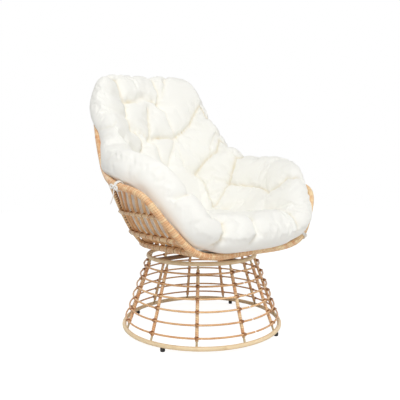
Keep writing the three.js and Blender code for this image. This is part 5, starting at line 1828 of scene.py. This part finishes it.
@dataclass
class ClothPuff:
    """Puffs a sewn cover up as cloth that is a little too large for its creases."""

    frames: int = 20
    pressure: float = 4.0
    growth: float = 0.07
    stiffness: float = 12.0
    bending: float = 0.15
    quality: int = 5
    mass: float = 0.2
    levels: int = 20
    most: float = 15

    def puff(self, positions: np.ndarray, faces: Sequence[tuple[int, ...]], free: np.ndarray) -> np.ndarray:
        """Runs the cloth and gives the points where it leaves them.

        Args:
            positions: The cover's points in millimetres.
            faces: Its faces.
            free: How free each point is to move, from 0 on a crease to 1.

        Returns:
            The moved points, none further than the most.
        """
        piece = plain_piece("cover_cloth", to_frame(positions), faces, bpy.data.materials[0])
        sewn = piece.vertex_groups.new(name="sewn")
        for level in range(1, self.levels + 1):
            inside = np.nonzero(np.round((1 - free) * self.levels) == level)[0]
            sewn.add(inside.tolist(), level / self.levels, "REPLACE")
        cloth = piece.modifiers.new("cloth", "CLOTH")
        settings = cloth.settings
        settings.quality = self.quality
        settings.mass = self.mass
        settings.tension_stiffness = settings.compression_stiffness = self.stiffness
        settings.shear_stiffness = self.stiffness / 2
        settings.bending_stiffness = self.bending
        settings.use_pressure = True
        settings.uniform_pressure_force = self.pressure
        settings.shrink_min = -self.growth
        settings.vertex_group_mass = "sewn"
        settings.effector_weights.gravity = 0
        cloth.collision_settings.use_collision = False
        cloth.point_cache.frame_start = 1
        cloth.point_cache.frame_end = self.frames
        scene = bpy.context.scene
        for frame in range(1, self.frames + 1):
            scene.frame_set(frame)
        graph = bpy.context.evaluated_depsgraph_get()
        moved = np.empty(len(positions) * 3)
        piece.evaluated_get(graph).data.vertices.foreach_get("co", moved)
        moved = from_frame(moved.reshape(-1, 3))
        scene.frame_set(1)
        bpy.data.objects.remove(piece)
        shift = moved - positions
        far = np.linalg.norm(shift, axis=1)
        log.info("cover cloth moved %.1f mm at most, %.1f mm on average", far.max(), far.mean())
        return positions + shift * (self.most * np.tanh(far / self.most) / np.maximum(far, 1e-6))[:, None]


@dataclass
class Swivel:
    """The crosses, plates, bearing, pivot and feet as packed, and the bolts in the plates' corners."""

    yard: Yard
    hole: float = 62

    def build(self) -> None:
        """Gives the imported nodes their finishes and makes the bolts."""
        finishes = self.yard.finishes
        for node in ("base_cross", "seat_cross", "swivel_plate_lower", "swivel_plate_upper"):
            self._dress(node, finishes[Finish.DARK_STEEL])
        for node in ("swivel_bearing_lower", "swivel_bearing_upper", "pivot_bolt"):
            self._dress(node, finishes[Finish.BOLT_STEEL])
        for i in range(4):
            self._dress(f"foot_{i + 1}", finishes[Finish.FOOT_PLASTIC])
        for half, body in (("lower", "base"), ("upper", "seat")):
            low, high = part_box(f"swivel_plate_{half}")
            height = (low[2] + high[2]) / 2
            places = [(x * self.hole * MM, SWIVEL_Y * MM + y * self.hole * MM, height)
                      for x in (1, -1) for y in (1, -1)]
            piece = self.yard.bolts.fasten(f"swivel_bolts_{half}", places, finishes[Finish.BOLT_STEEL],
                                           over=half == "upper")
            self.yard.fit(piece, body, "bolt_steel")

    @staticmethod
    def _dress(node: str, material: bpy.types.Material) -> None:
        """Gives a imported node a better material."""
        for slot in bpy.data.objects[node].material_slots:
            slot.material = material


@dataclass
class Studio:
    """A plain pale floor and soft lamps round the chair."""

    floor: float = 12.0
    floor_tone: float = 0.9
    glow: float = 1.7
    glow_part: float = 0.5
    ambient: float = 0.36
    aim: tuple[float, float, float] = (0, 0, 0.5)

    def build(self) -> None:
        """Makes the floor, the lamps and the white surroundings."""
        half = self.floor / 2
        corners = [(-half, -half, 0), (half, -half, 0), (half, half, 0), (-half, half, 0)]
        plain_piece("studio_floor", corners, [(0, 1, 2, 3)], self._floor_material())
        self._surround()
        self._lamp("key_lamp", (-1.9, -1.9, 3.1), size=1.0, power=64)
        self._lamp("fill_lamp", (1.5, -2.7, 1.3), size=2.4, power=20)
        self._lamp("back_lamp", (0.6, 2.8, 2.6), size=2.2, power=12)

    def _floor_material(self) -> bpy.types.Material:
        """Makes a pale floor that glows a little where the camera sees it."""
        surface = Surface("studio_floor")
        surface.dress(base_color=(self.floor_tone, self.floor_tone, self.floor_tone, 1.0), roughness=0.9)
        white = surface.value("ShaderNodeLightPath", output="Is Camera Ray")
        glow = surface.add("ShaderNodeEmission", None, {"Color": (1, 1, 1, 1), "Strength": self.glow})
        mix = surface.add("ShaderNodeMixShader", None, {0: white * self.glow_part})
        links = surface.tree.links
        links.new(surface.shader.outputs[0], mix.inputs[1])
        links.new(glow.outputs[0], mix.inputs[2])
        links.new(mix.outputs[0], surface.tree.nodes["Material Output"].inputs[0])
        return surface.material

    def _surround(self) -> None:
        """Makes the world white to the camera and in reflections, and an even pale light elsewhere."""
        world = bpy.data.worlds.new("studio")
        bpy.context.scene.world = world
        world.use_nodes = True
        nodes = Nodes(world.node_tree)
        camera, glossy, through = (nodes.value("ShaderNodeLightPath", output=f"Is {kind} Ray")
                                   for kind in ("Camera", "Glossy", "Transmission"))
        seen = nodes.maths("MAXIMUM", camera, nodes.maths("MAXIMUM", glossy, through))
        background = world.node_tree.nodes["Background"]
        background.inputs[0].default_value = (1, 1, 1, 1)
        strength = seen * (1 - self.ambient) + self.ambient
        world.node_tree.links.new(strength.socket, background.inputs[1])

    def _lamp(self, name: str, place: tuple[float, float, float], size: float, power: float) -> None:
        """Makes a square area lamp that faces the chair."""
        data = bpy.data.lights.new(name, "AREA")
        data.size = size
        data.energy = power
        lamp = put(name, data)
        lamp.location = place
        lamp.rotation_euler = (Vector(self.aim) - Vector(place)).to_track_quat("-Z", "Y").to_euler()


def main() -> None:
    """Builds the chair piece by piece, with its camera and studio."""
    logging.basicConfig(level=logging.INFO, format="%(name)s: %(message)s", stream=sys.stdout)
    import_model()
    bpy.context.scene.view_settings.view_transform = "Standard"
    View().build()
    yard = Yard()
    lines = SeatLines()
    Ties(yard, lines).build()
    SeatFrame(yard, lines).build()
    BaseCage(yard).build()
    Swivel(yard).build()
    Cushion(yard, lines).build()
    Studio().build()


if __name__ == "__main__":
    main()
